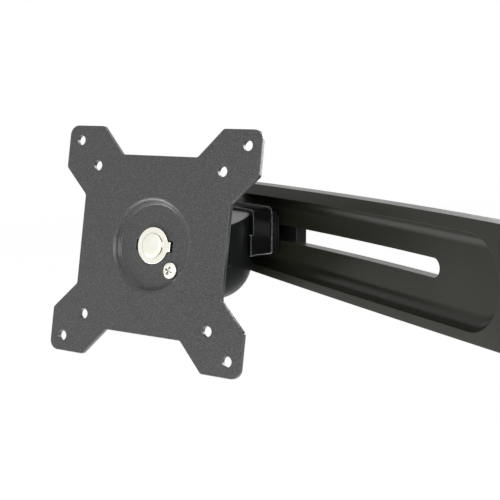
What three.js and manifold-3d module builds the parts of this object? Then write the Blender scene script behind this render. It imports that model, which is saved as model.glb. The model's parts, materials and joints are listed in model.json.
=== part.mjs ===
// Curved monitor arm: a bowed cast beam with a slotted trough, a carriage that slides along
// the slot, a swivel housing on the carriage, a tilting hub and a turning screen plate.
// Units are millimetres. +Z is up, +Y points out of the back of the foot towards the wall
// or post, and +X runs along the foot away from the tip of the beam.
import * as THREE from 'three';
import { mergeVertices } from 'three/addons/utils/BufferGeometryUtils.js';
import Module from 'manifold-3d';

const wasm = await Module();
wasm.setup();

// ---------------------------------------------------------------- driving dimensions
const gap = 0.3; // running gap between two pieces
const boltGap = 0.3; // radial gap of a screw or pin in its hole
const farOut = 50; // reach of a cutting block past every face that it meets

// Beam. Distances along it are measured from the middle of the foot towards the tip.
const bowRadius = 1064; // plan radius of the beam's front face
const beamHeight = 50;
const beamThick = 13.3;
const beamTip = 352;
const beamTail = 38; // how far the beam runs past the middle of the foot
const beamBackRound = 5;
const bellyAt = 137; // where the lower edge hangs lowest
const bellyRadius = 2500;
const tipRound = 12;
const tailRound = 6;
const sliceLength = 32; // length of one straight piece of the bow

// Trough and slot in the front of the beam.
const troughNear = 55.5; // end of the trough nearest the foot
const troughFar = 338;
const troughTop = 19.25;
const troughBorder = 4.5; // rim left between the trough and the lower edge
const troughDepth = 7;
const troughFillet = 6.4;
const slotNear = 103.4;
const slotFar = 292;
const slotWidth = 8.4;

// Foot.
const footLength = 76;
const footHeight = 84;
const footThick = 8;
const footCorner = 7;
const pedestal = 12.4; // raised block that the beam sits on
const pedestalLength = 68;
const pedestalTop = 17;
const pedestalBottom = 12;
const footHoleX = 25;
const footHoleZ = 33;
const footHoleRadius = 3.3;
const beamScrewX = 22;
const beamScrewZ = 8.5;
const beamScrewRadius = 2.95;
const beamScrewHead = 5.2;
const beamScrewHeadHeight = 3;
const beamScrewSink = 0.7; // how far the screw head lies below the face
const beamScrewWeb = 2.5; // material left behind the screw's end

// Carriage.
const carriageAt = 253.6; // place of the carriage along the beam
const sliderLength = 42;
const sliderHeight = 22;
const sliderFront = 2.3; // depth of its face below the front of the beam
const linerThick = 0.8;
const linerHeight = 18;
const clampLength = 53;
const clampHeight = 26;
const clampThick = 5.6;
const studRadius = 3.9;
const studHead = 7;
const studHeadHeight = 1.7;
const studChamfer = 0.8;

// Clamp knob on the back.
const knobRadius = 13.5;
const knobLobe = 1.4;
const knobLobes = 6;
const knobDepth = 8.5;
const knobRoof = 2.2;
const knobRound = 1.6;
const insertRadius = 6.5;
const washerThick = 1.5;
const washerRadius = 9;

// Saddle bracket.
const saddleHalf = 20.9;
const saddleTop = 13;
const saddleBottom = -11.5;
const saddleCorner = 3;
const saddleFlange = 1.7;
const saddleReachUpper = 10;
const saddleReachLower = 11.5;
const saddleStep = 0; // height where the cheeks grow longer
const saddleBack = 2; // depth of its back plate in the trough
const saddleRim = 1; // how far the back plate's rim stands proud, and its thickness
const saddleRimBottom = -10.6;
const tongueHalf = 8;
const tongueBottom = -10;
const tongueThick = 7;
const tongueRoom = 0.5; // space beside the tongue and its eye in the housing
const eyeRadius = 9.5;
const saddleScrewX = 15.5;
const saddleScrewZ = 7;
const saddleScrewRadius = 1.95;
const saddleScrewHead = 3.6;
const saddleScrewBite = 3.6; // how deep the screws reach past the front face

// Swivel housing.
const swivelOffset = 21.55; // swivel axis in front of the beam's face
const swivelRest = THREE.MathUtils.degToRad(24.4);
const swivelLimit = THREE.MathUtils.degToRad(55);
const housingRadius = 20.5;
const domeCentre = -15.4;
const capPlane = 8.4; // height of the slanted top on the swivel axis
const capSlope = THREE.MathUtils.degToRad(14.4);
const capHeight = 3;
const capFaceRadius = 16;
const capEdge = 0.5;
const capSkirt = 1.8; // wall of the ring under the cap
const bushWall = 1.1;
const bushFlange = 1;
const bushInset = 0.5; // how far the bush's flange stays inside the eye's edge
const boltRadius = 4;
const hexRadius = 7.4; // across the corners of the M8 hexagons
const nutHeight = 4;
const swivelHead = 6.5;
const swivelHeadHeight = 4.7;
const swivelHeadTop = -19.3;
const swivelHeadChamfer = 0.6;
const nutSeat = 2.5; // floor of the recess that holds the swivel nut
const hexRoom = 0.6; // space round a bolt head or nut in its recess
const threadEnd = 0.5; // how far the swivel bolt passes its nut
const socketRadius = 3.4;
const socketDepth = 2.6;

// Tilt fork and hub.
const tiltForward = 31.4; // tilt axis in front of the swivel axis
const tiltHeight = -4.6;
const tiltRest = THREE.MathUtils.degToRad(10.7);
const earInner = 11.6;
const earThick = 6;
const earRadius = 10.5;
const earShoulder = 6.6; // height of the ear's arm above the tilt axis
const discThick = 1;
const discRadius = 9.5;
const tiltWasherThick = 1.2;
const tiltWasherRadius = 8;
const tiltHeadHeight = 4.7;
const tiltNutHeight = 5.6;
const hubEyeRadius = 9.8;
const hubFlangeRadius = 20;
const hubFlangeThick = 4.5;
const frictionRadius = 12;
const frictionThick = 1;
const springRadius = 9.4;
const springThick = 0.7;
const springRise = 0.5;
const springPocket = 1.5;

// Screen plate. Depths are measured back from its front face.
const plateAhead = 24; // front face in front of the tilt axis
const plateThick = 2.5;
const plateReach = 57.6; // half the width over the ears
const plateWaist = 43.7; // half the width over the waist
const waistHalf = 22.6; // half the length of each straight waist edge
const earLength = 21.6; // length of each ear's outer edge
const earCorner = 5;
const earSmallCorner = 2;
const screwHoleRadius = 2.5;
const smallPattern = 75;
const largePattern = 100;
const dishRadius = 24; // where the face starts to roll into the dish
const dishFloorRadius = 20.2;
const dishDepth = 3.1;
const dishRoll = 2.9; // radius of the rolled lip
const dishToe = 1.1; // radius where the wall meets the floor
const dishSlope = THREE.MathUtils.degToRad(72);
const dishBossWall = 1.6; // sheet left round the dish on the back
const dishBackEdge = 0.6; // chamfer on the back of the dish
const pivotHeadRadius = 5.85;
const pivotHeadHeight = 1.3;
const pivotHeadWall = 0.3; // straight wall under the head's dome
const pivotLength = 15.9; // shank below the head
const keyedRadius = 9;
const keyedThick = 0.9;
const keyedEarRight = 10.4; // reach of the wide ear
const keyedEarLeft = 8.6; // reach of the tab that is folded close under the disc
const keyedEarHalf = 2.4;
const keyedTabDepth = 2.4;
const notchHalfSpan = 11;
const stopX = 11.3;
const stopZ = -11.3;
const stopHead = 4;
const stopHeadHeight = 1.7;
const crossWidth = 1.1;
const crossLength = 4.4;
const crossDepth = 0.9;
const stopRadius = 1.95;
const stopBite = 2.3; // how deep the stop screw reaches into the hub
const grooveRoom = 0.45; // space beside the stop screw in its groove
const turnLimit = THREE.MathUtils.degToRad(90);

// ---------------------------------------------------------------- derived places
const backY = -(footThick + pedestal + gap); // back of the beam at the foot
const frontY = backY - beamThick; // front of the beam at the foot
const sliderBack = troughDepth - 2 * gap - linerThick;
const rearLinerAt = beamThick + gap;
const clampAt = rearLinerAt + linerThick + gap;
const washerAt = clampAt + clampThick + gap;
const knobAt = washerAt + washerThick + gap;
const studEnd = knobAt + knobDepth - knobRoof - gap;
const saddleBore = housingRadius + gap;
const saddleUnderside = saddleTop - saddleFlange;
const housingTop = saddleUnderside - gap;
const tongueTop = tongueBottom + tongueThick;
const pocketRoof = tongueTop + 2 * gap + bushFlange;
const pocketFloor = tongueBottom - 2 * gap - bushFlange;
const boltHole = boltRadius + boltGap;
const eyeBore = boltHole + bushWall + gap;
const nutRoom = hexRadius + hexRoom;
const recessRadius = nutRoom + 2 * gap + capSkirt;
const earOuter = earInner + earThick;
const tiltWasherAt = earOuter + gap;
const tiltHeadAt = tiltWasherAt + tiltWasherThick + gap;
const hubHalf = earInner - 2 * gap - discThick;
const floorBack = dishDepth + plateThick;
const frictionAt = floorBack + gap;
const hubAt = frictionAt + frictionThick + gap;
const washerFront = dishDepth - gap - keyedThick;
const pivotFront = washerFront - gap - pivotHeadHeight;
const pivotEnd = pivotFront + pivotHeadHeight + pivotLength;
const notchHalf = keyedEarHalf + gap;
const stopCircle = Math.hypot(stopX, stopZ);
const stopHome = Math.atan2(stopZ, stopX);

// ---------------------------------------------------------------- finishes
function finish(color, roughness, metalness) {
  return new THREE.MeshStandardMaterial({ color, roughness, metalness });
}

const castBlack = finish(0x42433d, 0.5, 0.3);
const satinBlack = finish(0x1c1c1c, 0.45, 0.1);
const glossBlack = finish(0x2a2a2c, 0.2, 0.3);
const platePowder = finish(0x55565a, 0.6, 0.3);
const capGrey = finish(0x969696, 0.5, 0);
const zinc = finish(0xb9bbbd, 0.35, 0.9);
const nickel = finish(0xe6e4de, 0.18, 1);
const slidePlastic = finish(0x3a3a3a, 0.6, 0);
const knobPlastic = finish(0x202022, 0.6, 0);
const brass = finish(0xb08d4a, 0.35, 0.9);
const fibre = finish(0x8a3b22, 0.8, 0);

// ---------------------------------------------------------------- solids
function segmentsFor(radius) {
  if (radius > 15) return 36;
  if (radius > 8) return 24;
  return radius > 3 ? 16 : 10;
}

// Shared vertices merged, and every face turned outwards.
function closed(geometry) {
  const bare = geometry.index ? geometry.toNonIndexed() : geometry.clone();
  bare.deleteAttribute('normal');
  bare.deleteAttribute('uv');
  const merged = mergeVertices(bare, 1e-4);
  const position = merged.attributes.position;
  const corner = (i) => new THREE.Vector3().fromBufferAttribute(position, merged.index.getX(i));
  let volume = 0;
  for (let i = 0; i < merged.index.count; i += 3) {
    volume += corner(i).dot(corner(i + 1).cross(corner(i + 2)));
  }
  if (volume < 0) merged.index.array.reverse();
  return merged;
}

function toSolid(geometry) {
  const merged = closed(geometry);
  return new wasm.Manifold(new wasm.Mesh({
    numProp: 3,
    vertProperties: new Float32Array(merged.attributes.position.array),
    triVerts: new Uint32Array(merged.index.array),
  }));
}

function toGeometry(solid) {
  const mesh = solid.getMesh();
  const geometry = new THREE.BufferGeometry();
  geometry.setAttribute('position', new THREE.BufferAttribute(new Float32Array(mesh.vertProperties), 3));
  geometry.setIndex(new THREE.BufferAttribute(new Uint32Array(mesh.triVerts), 1));
  return geometry;
}

function join(first, ...others) {
  return toGeometry(others.reduce((solid, other) => solid.add(toSolid(other)), toSolid(first)));
}

function cut(base, ...tools) {
  return toGeometry(tools.reduce((solid, tool) => solid.subtract(toSolid(tool)), toSolid(base)));
}

function block([x0, x1], [y0, y1], [z0, z1]) {
  const geometry = new THREE.BoxGeometry(x1 - x0, y1 - y0, z1 - z0);
  return geometry.translate((x0 + x1) / 2, (y0 + y1) / 2, (z0 + z1) / 2);
}

// Upright cylinder about the Z axis.
function drum(radius, z0, z1) {
  const geometry = new THREE.CylinderGeometry(radius, radius, z1 - z0, segmentsFor(radius));
  return geometry.rotateX(Math.PI / 2).translate(0, 0, (z0 + z1) / 2);
}

// Cylinder along Y, through the point (x, z).
function rod(radius, y0, y1, x = 0, z = 0) {
  return drum(radius, -y1, -y0).rotateX(Math.PI / 2).translate(x, 0, z);
}

// Cylinder along X, through the point (y, z).
function axle(radius, x0, x1, y = 0, z = 0) {
  return drum(radius, x0, x1).rotateY(Math.PI / 2).translate(0, y, z);
}

// Six-sided bar along Z with the given radius over its corners.
function hexBar(radius, z0, z1) {
  return new THREE.CylinderGeometry(radius, radius, z1 - z0, 6).rotateX(Math.PI / 2)
    .translate(0, 0, (z0 + z1) / 2);
}

// Turned piece about the Z axis from [radius, height] points.
function turned(points) {
  const widest = Math.max(...points.map(([radius]) => radius));
  const profile = points.map(([radius, height]) => new THREE.Vector2(radius, height));
  return new THREE.LatheGeometry(profile, segmentsFor(widest)).rotateX(Math.PI / 2);
}

// Flat ring about the Z axis.
function ring(inner, outer, z0, z1) {
  return turned([[inner, z0], [outer, z0], [outer, z1], [inner, z1], [inner, z0]]);
}

// Ring about the Y axis.
function ringY(inner, outer, y0, y1) {
  return ring(inner, outer, -y1, -y0).rotateX(Math.PI / 2);
}

// Panel with its outline in the X-Z plane, filling the depths y0 to y1.
function panel(outline, y0, y1) {
  const geometry = new THREE.ExtrudeGeometry(outline, {
    depth: y1 - y0, bevelEnabled: false, curveSegments: 6,
  });
  return geometry.rotateX(Math.PI / 2).translate(0, y1, 0);
}

// Outline from [x, z, radius] corners, each rounded by its radius.
function roundedOutline(corners, steps = 3) {
  const points = [];
  corners.forEach(([x, z, radius], i) => {
    const corner = new THREE.Vector2(x, z);
    const before = corners.at(i - 1);
    const after = corners[(i + 1) % corners.length];
    const back = new THREE.Vector2(before[0], before[1]).sub(corner).normalize();
    const ahead = new THREE.Vector2(after[0], after[1]).sub(corner).normalize();
    if (!radius) {
      points.push(corner);
      return;
    }
    const half = Math.acos(THREE.MathUtils.clamp(back.dot(ahead), -1, 1)) / 2;
    const middle = back.clone().add(ahead).normalize();
    const centre = corner.clone().addScaledVector(middle, radius / Math.sin(half));
    const from = corner.clone().addScaledVector(back, radius / Math.tan(half)).sub(centre);
    const to = corner.clone().addScaledVector(ahead, radius / Math.tan(half)).sub(centre);
    const sweep = Math.atan2(from.cross(to), from.dot(to));
    for (let n = 0; n <= steps; n += 1) {
      points.push(from.clone().rotateAround(new THREE.Vector2(), (sweep * n) / steps).add(centre));
    }
  });
  return new THREE.Shape(points);
}

function rectangle(halfX, z0, z1, radius) {
  return roundedOutline([
    [-halfX, z0, radius], [halfX, z0, radius], [halfX, z1, radius], [-halfX, z1, radius],
  ]);
}

// ---------------------------------------------------------------- the bow
// Keeps the part of a convex polygon on one side of the plane at x. The crossing point is
// worked out from the edge's lower end, so that two triangles that share an edge agree.
function clip(polygon, x, side) {
  const kept = [];
  polygon.forEach((point, i) => {
    const next = polygon[(i + 1) % polygon.length];
    const here = (point.x - x) * side;
    const there = (next.x - x) * side;
    if (here >= 0) kept.push(point);
    if (here * there < 0) {
      const [low, high] = point.x < next.x ? [point, next] : [next, point];
      const crossing = low.clone().lerp(high, (x - low.x) / (high.x - low.x));
      crossing.x = x;
      kept.push(crossing);
    }
  });
  return kept;
}

// Cuts every triangle at the planes between two slices, ready for bending.
function sliced(geometry) {
  const source = geometry.index ? geometry.toNonIndexed() : geometry;
  const position = source.attributes.position;
  const vertices = [];
  for (let i = 0; i < position.count; i += 3) {
    const triangle = [0, 1, 2].map((k) => new THREE.Vector3().fromBufferAttribute(position, i + k));
    const ends = triangle.map((point) => point.x / sliceLength - 0.5);
    const first = Math.floor(Math.min(...ends));
    for (let n = first; n === first || n < Math.max(...ends); n += 1) {
      const start = (n + 0.5) * sliceLength;
      const piece = clip(clip(triangle, start, 1), start + sliceLength, -1);
      for (let k = 2; k < piece.length; k += 1) vertices.push(piece[0], piece[k - 1], piece[k]);
    }
  }
  return new THREE.BufferGeometry().setFromPoints(vertices);
}

// Bends a straight piece to the bow. Before, x runs along the beam towards the foot's far
// end and y is the depth behind the front face; after, the piece follows the arc.
function bent(geometry) {
  const result = closed(sliced(geometry));
  const position = result.attributes.position;
  for (let i = 0; i < position.count; i += 1) {
    const angle = position.getX(i) / bowRadius;
    const radius = bowRadius + position.getY(i);
    position.setXY(i, radius * Math.sin(angle), radius * Math.cos(angle) - bowRadius);
  }
  return toGeometry(toSolid(result));
}

// Group whose origin is on the beam's front face at x, with +X along the beam.
function onBow(x) {
  const group = new THREE.Group();
  const angle = x / bowRadius;
  group.position.set(bowRadius * Math.sin(angle), frontY + bowRadius * (Math.cos(angle) - 1), 0);
  group.rotation.z = -angle;
  return group;
}

function addPiece(group, name, geometry, material) {
  const shown = geometry.toNonIndexed();
  shown.computeVertexNormals();
  const mesh = new THREE.Mesh(shown, material);
  mesh.name = name;
  group.add(mesh);
  return mesh;
}

const arm = new THREE.Group();

// ---------------------------------------------------------------- beam and foot
const lowerEdge = (x) => -beamHeight / 2 + (x + bellyAt) ** 2 / (2 * bellyRadius);

// Points along the lower edge, raised by lift, from one x to another.
function bellyPoints(from, to, lift) {
  const count = Math.ceil(Math.abs(to - from) / sliceLength);
  return Array.from({ length: count + 1 }, (_, i) => {
    const x = THREE.MathUtils.lerp(from, to, i / count);
    return new THREE.Vector2(x, lowerEdge(x) + lift);
  });
}

function beamOutline() {
  const top = beamHeight / 2;
  const corners = [
    [-beamTip, top, tipRound], [-beamTip, lowerEdge(-beamTip), tipRound],
    ...bellyPoints(-beamTip + 2 * tipRound, beamTail - 2 * tailRound, 0).map(({ x, y }) => [x, y, 0]),
    [beamTail, lowerEdge(beamTail), tailRound], [beamTail, top, tailRound],
  ];
  return roundedOutline(corners);
}

// Outline of the trough, drawn in from its rim by inset: straight above, parallel to the
// beam's lower edge below, and round at both ends.
function troughOutline(inset) {
  const top = troughTop - inset;
  const lift = troughBorder + inset;
  const endAt = (x) => (top - lowerEdge(x) - lift) / 2;
  const nearX = -troughNear - inset - endAt(-troughNear - inset);
  const farX = -troughFar + inset + endAt(-troughFar + inset);
  const nearZ = top - endAt(nearX);
  const farZ = top - endAt(farX);
  const shape = new THREE.Shape();
  shape.moveTo(farX, top);
  shape.lineTo(nearX, top);
  shape.absarc(nearX, nearZ, endAt(nearX), Math.PI / 2, -Math.PI / 2, true);
  bellyPoints(nearX, farX, lift).slice(1).forEach((point) => shape.lineTo(point.x, point.y));
  shape.absarc(farX, farZ, endAt(farX), -Math.PI / 2, -Math.PI * 1.5, true);
  return shape;
}

function roundedBack(outline, front, back, round) {
  const geometry = new THREE.ExtrudeGeometry(outline, {
    depth: back - front - 2 * round,
    bevelThickness: round,
    bevelSize: round,
    bevelOffset: -round,
    bevelSegments: 3,
    curveSegments: 6,
  });
  return geometry.rotateX(Math.PI / 2).translate(0, back - round, 0);
}

function slotOutline() {
  const radius = slotWidth / 2;
  const shape = new THREE.Shape();
  shape.absarc(-slotNear - radius, 0, radius, -Math.PI / 2, Math.PI / 2, false);
  shape.absarc(-slotFar + radius, 0, radius, Math.PI / 2, Math.PI * 1.5, false);
  return shape;
}

const beamScrewPlaces = [-1, 1].flatMap((side) => [-1, 1].map((row) => (
  [side * beamScrewX, row * beamScrewZ]
)));
const beamScrewHole = beamScrewRadius + boltGap;
const beamScrewHeadRoom = beamScrewHead + boltGap;

function makeBeam() {
  const round = Math.min(beamBackRound, 0.9 * tailRound, 0.9 * tipRound);
  const spare = 3 * round;
  const body = cut(
    roundedBack(beamOutline(), -spare, beamThick, round),
    block([-2 * beamTip, 2 * beamTip], [-2 * spare, 0], [-beamHeight, beamHeight]),
  );
  const trough = roundedBack(troughOutline(0), -troughDepth - troughFillet, troughDepth, troughFillet);
  const slot = panel(slotOutline(), -1, beamThick + 1);
  const holes = beamScrewPlaces.flatMap(([x, z]) => [
    rod(beamScrewHole, -1, beamThick + 1, x, z),
    rod(beamScrewHeadRoom, -1, beamScrewSink + beamScrewHeadHeight + gap, x, z),
  ]);
  return bent(cut(body, trough, slot, ...holes)).translate(0, frontY, 0);
}

const beamScrewEnd = -backY + beamThick - beamScrewWeb - gap;

// Solids that belong to the screws through the beam, each set square to the bow.
function atBeamScrews(make) {
  return beamScrewPlaces.map(([x, z]) => {
    const place = onBow(x);
    place.updateMatrixWorld();
    return make().applyMatrix4(place.matrixWorld).translate(0, 0, z);
  });
}

function makeBeamScrew() {
  const sink = beamScrewSink;
  const height = beamScrewHeadHeight;
  const head = turned([
    [0, -sink], [0.55 * beamScrewHead, -sink], [0.85 * beamScrewHead, -sink - 0.3 * height],
    [beamScrewHead, -sink - 0.8 * height], [beamScrewHead, -sink - height],
    [beamScrewRadius, -sink - height], [beamScrewRadius, -beamScrewEnd], [0, -beamScrewEnd],
  ].reverse());
  const socket = hexBar(0.4 * beamScrewHead, -sink - 0.55 * height, 1);
  return cut(head, socket).rotateX(Math.PI / 2);
}

function makeFoot() {
  const plate = panel(
    rectangle(footLength / 2, -footHeight / 2, footHeight / 2, footCorner),
    -footThick,
    0,
  );
  const half = pedestalLength / 2;
  const seat = bent(block(
    [-half, half],
    [beamThick + gap, beamThick + gap + pedestal + footThick / 2],
    [-pedestalBottom, pedestalTop],
  )).translate(0, frontY, 0);
  const mountHoles = [-1, 1].flatMap((side) => [-1, 1].map((row) => (
    rod(footHoleRadius, -footThick - 1, 1, side * footHoleX, row * footHoleZ)
  )));
  const screwHoles = atBeamScrews(() => rod(beamScrewHole, beamThick, beamScrewEnd + gap));
  return cut(join(plate, seat), ...mountHoles, ...screwHoles);
}

addPiece(arm, 'arm_beam', makeBeam(), castBlack);
addPiece(arm, 'foot_bracket', makeFoot(), satinBlack);
atBeamScrews(makeBeamScrew).forEach((screw, i) => {
  addPiece(arm, `foot_screw_${i + 1}`, screw, zinc);
});

// ---------------------------------------------------------------- carriage
const carriage = onBow(-carriageAt);
arm.add(carriage);
const studHole = studRadius + boltGap;
const saddleScrewPlaces = [-1, 1].flatMap((side) => [-1, 1].map((row) => (
  [side * saddleScrewX, row * saddleScrewZ]
)));
const saddleScrewHole = saddleScrewRadius + boltGap;

function slab(length, height, y0, y1) {
  return bent(block([-length / 2, length / 2], [y0, y1], [-height / 2, height / 2]));
}

// Countersunk screw that enters the saddle from behind the slider.
function makeSaddleScrew(x, z, room) {
  const head = saddleScrewHead + room;
  const shank = saddleScrewRadius + room;
  const rear = sliderBack - (room ? 0 : gap);
  const cone = saddleScrewHead - saddleScrewRadius;
  const end = -saddleScrewBite - room;
  return turned([
    [0, end], [shank, end], [shank, rear - cone], [head, rear],
    ...(room ? [[head, rear + 1], [0, rear + 1]] : [[0, rear]]),
  ]).rotateX(-Math.PI / 2).translate(x, 0, z);
}

function makeSlider() {
  return cut(
    slab(sliderLength, sliderHeight, sliderFront, sliderBack),
    rod(studHole, 0, troughDepth),
    rod(studHead + boltGap, 0, sliderFront + studHeadHeight + gap),
    ...saddleScrewPlaces.map(([x, z]) => makeSaddleScrew(x, z, boltGap)),
  );
}

function makeSaddle() {
  const outline = roundedOutline([
    [-saddleHalf, saddleBottom, 1], [saddleHalf, saddleBottom, 1],
    [saddleHalf, saddleTop, saddleCorner], [-saddleHalf, saddleTop, saddleCorner],
  ]);
  const rimHalf = saddleHalf + saddleRim;
  const rimTop = saddleTop + saddleRim;
  const rimCorner = saddleCorner + saddleRim;
  const rim = roundedOutline([
    [-rimHalf, saddleRimBottom, 1], [rimHalf, saddleRimBottom, 1],
    [rimHalf, rimTop, rimCorner], [-rimHalf, rimTop, rimCorner],
  ]);
  const body = cut(
    join(panel(outline, -saddleReachLower, saddleBack), panel(rim, saddleBack - saddleRim, saddleBack)),
    block([-farOut, farOut], [-farOut, -saddleReachUpper], [saddleStep, farOut]),
    drum(saddleBore, saddleBottom - 1, saddleUnderside).translate(0, -swivelOffset, 0),
  );
  const tongue = join(
    block([-tongueHalf, tongueHalf], [-swivelOffset, saddleBack / 2], [tongueBottom, tongueTop]),
    drum(eyeRadius, tongueBottom, tongueTop).translate(0, -swivelOffset, 0),
  );
  return cut(
    join(body, tongue),
    drum(eyeBore, tongueBottom - 1, tongueTop + 1).translate(0, -swivelOffset, 0),
    ...saddleScrewPlaces.map(([x, z]) => makeSaddleScrew(x, z, boltGap)),
  );
}

function makeStud() {
  const shoulder = sliderFront + studHeadHeight;
  return turned([
    [0, sliderFront], [studHead, sliderFront], [studHead, shoulder], [studRadius, shoulder],
    [studRadius, studEnd - studChamfer], [studRadius - studChamfer, studEnd], [0, studEnd],
  ]).rotateX(-Math.PI / 2);
}

function makeBush(upper) {
  const middle = (tongueTop + tongueBottom) / 2;
  const face = upper ? tongueTop + gap : tongueBottom - gap;
  const way = upper ? 1 : -1;
  const outer = face + way * bushFlange;
  const inner = middle + way * gap;
  const sleeve = boltHole + bushWall;
  const points = [
    [boltHole, inner], [sleeve, inner], [sleeve, face], [eyeRadius - bushInset, face],
    [eyeRadius - bushInset, outer], [boltHole, outer], [boltHole, inner],
  ];
  return turned(upper ? points : points.reverse()).translate(0, -swivelOffset, 0);
}

addPiece(carriage, 'slider_block', makeSlider(), satinBlack);
addPiece(carriage, 'front_slide_liner', cut(
  slab(sliderLength, linerHeight, sliderBack + gap, sliderBack + gap + linerThick),
  rod(studHole, 0, beamThick),
), slidePlastic);
addPiece(carriage, 'rear_slide_liner', cut(
  slab(clampLength, clampHeight - 2, rearLinerAt, rearLinerAt + linerThick),
  rod(studHole, 0, 2 * beamThick),
), slidePlastic);
addPiece(carriage, 'rear_clamp_plate', cut(
  slab(clampLength, clampHeight, clampAt, clampAt + clampThick),
  rod(studHole, 0, 2 * beamThick),
), satinBlack);
addPiece(carriage, 'carriage_stud', makeStud(), zinc);
addPiece(carriage, 'saddle_bracket', makeSaddle(), glossBlack);
saddleScrewPlaces.forEach(([x, z], i) => {
  addPiece(carriage, `saddle_screw_${i + 1}`, makeSaddleScrew(x, z, 0), zinc);
});
addPiece(carriage, 'upper_swivel_bush', makeBush(true), slidePlastic);
addPiece(carriage, 'lower_swivel_bush', makeBush(false), slidePlastic);

// ---------------------------------------------------------------- clamp knob
function makeKnob() {
  const knobSteps = 8 * knobLobes;
  const shape = new THREE.Shape(Array.from({ length: knobSteps }, (_, i) => {
    const angle = (i / knobSteps) * 2 * Math.PI;
    const radius = knobRadius - knobLobe + knobLobe * Math.cos(knobLobes * angle);
    return new THREE.Vector2(radius * Math.cos(angle), radius * Math.sin(angle));
  }));
  const body = roundedBack(shape, knobAt, knobAt + knobDepth, knobRound);
  return cut(body, rod(insertRadius + gap, 0, studEnd + gap));
}

addPiece(carriage, 'knob_washer', ringY(studHole, washerRadius, washerAt, washerAt + washerThick), zinc);
addPiece(carriage, 'clamp_knob', makeKnob(), knobPlastic);
addPiece(carriage, 'knob_insert', ringY(studHole, insertRadius, knobAt, studEnd), brass);

// ---------------------------------------------------------------- swivel housing
const head = new THREE.Group();
head.position.y = -swivelOffset;
head.rotation.z = swivelRest;
carriage.add(head);

// Everything above the slanted plane of the housing's top, raised by lift.
function aboveSlope(lift) {
  const upper = block([-farOut, farOut], [-farOut, farOut], [lift, farOut]);
  return upper.rotateX(capSlope).translate(0, 0, capPlane);
}

// Room that the saddle's tongue needs over the whole swivel range.
function makePocket() {
  const wide = tongueHalf + tongueRoom;
  const reach = housingRadius + 4;
  const sector = new THREE.Shape();
  sector.absarc(0, 0, reach, Math.PI / 2 - swivelLimit, Math.PI / 2 + swivelLimit, false);
  sector.lineTo(0, 0);
  const fan = new THREE.ExtrudeGeometry(sector, {
    depth: pocketRoof - pocketFloor, bevelEnabled: false, curveSegments: 10,
  }).translate(0, 0, pocketFloor);
  const sides = [-1, 1].map((side) => (
    block([-wide, wide], [0, reach], [pocketFloor, pocketRoof]).rotateZ(side * swivelLimit)
  ));
  return join(drum(eyeRadius + tongueRoom, pocketFloor, pocketRoof), fan, ...sides);
}

function makeEar(side) {
  const outline = new THREE.Shape();
  const shoulder = Math.asin(earShoulder / earRadius);
  outline.absarc(-tiltForward, tiltHeight, earRadius, Math.PI * 1.5, shoulder, true);
  outline.lineTo(-tiltForward + earRadius, tiltHeight + earShoulder);
  outline.lineTo(-housingRadius / 2, tiltHeight + earShoulder);
  outline.lineTo(-housingRadius / 2, tiltHeight - earRadius);
  const middle = side * (earInner + earThick / 2);
  return new THREE.ExtrudeGeometry(outline, {
    depth: earThick, bevelEnabled: false, curveSegments: 20,
  }).rotateY(Math.PI / 2).rotateX(Math.PI / 2).translate(middle - earThick / 2, 0, 0);
}

function makeHousing() {
  const dome = Array.from({ length: 9 }, (_, i) => {
    const angle = (i / 8) * (Math.PI / 2);
    return [housingRadius * Math.sin(angle), domeCentre - housingRadius * Math.cos(angle)];
  });
  dome[0][0] = 0;
  const bullet = cut(
    turned([...dome, [housingRadius, 30], [0, 30]]),
    aboveSlope(0),
    block([-farOut, farOut], [-farOut, farOut], [housingTop, farOut]),
    drum(recessRadius, nutSeat, farOut),
  );
  return cut(
    join(bullet, makeEar(-1), makeEar(1)),
    makePocket(),
    drum(boltHole, -farOut, farOut),
    drum(swivelHead + hexRoom, -farOut, swivelHeadTop + gap),
    axle(boltHole, -farOut, farOut, -tiltForward, tiltHeight),
  );
}

// Grey cap: a chamfered disc that lies on the slanted top, cut level below the saddle.
function makeCap() {
  const rim = housingRadius - gap;
  const disc = turned([
    [0, gap], [rim, gap], [rim, gap + capEdge], [capFaceRadius, gap + capHeight], [0, gap + capHeight],
  ]).scale(1, 1 / Math.cos(capSlope), 1).rotateX(capSlope).translate(0, 0, capPlane);
  const skirt = recessRadius - gap;
  return cut(
    join(disc, drum(skirt, nutSeat + gap, capPlane + 1)),
    drum(skirt - capSkirt, 0, nutSeat + gap + nutHeight + 1),
    block([-farOut, farOut], [-farOut, farOut], [housingTop, farOut]),
  );
}

function makeSwivelBolt() {
  const low = swivelHeadTop - swivelHeadHeight;
  const top = nutSeat + gap + nutHeight + threadEnd;
  return cut(turned([
    [0, low], [swivelHead - swivelHeadChamfer, low], [swivelHead, low + swivelHeadChamfer],
    [swivelHead, swivelHeadTop],
    [boltRadius, swivelHeadTop], [boltRadius, top], [0, top],
  ]), hexBar(socketRadius, low - 1, low + socketDepth));
}

function hexNut(z0, z1) {
  return cut(hexBar(hexRadius, z0, z1), drum(boltHole, z0 - 1, z1 + 1));
}

addPiece(head, 'swivel_housing', makeHousing(), satinBlack);
addPiece(head, 'housing_cap', makeCap(), capGrey);
addPiece(head, 'swivel_bolt', makeSwivelBolt(), zinc);
addPiece(head, 'swivel_nut', hexNut(nutSeat + gap, nutSeat + gap + nutHeight), zinc);

// ---------------------------------------------------------------- tilt joint
const tiltAxis = new THREE.Group();
tiltAxis.position.set(0, -tiltForward, tiltHeight);
head.add(tiltAxis);

function makeTiltBolt() {
  const tip = tiltHeadAt + tiltNutHeight + 1;
  return join(
    hexBar(hexRadius, -tiltHeadAt - tiltHeadHeight, -tiltHeadAt),
    drum(boltRadius, -tiltHeadAt - 1, tip),
  ).rotateY(Math.PI / 2);
}

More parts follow.
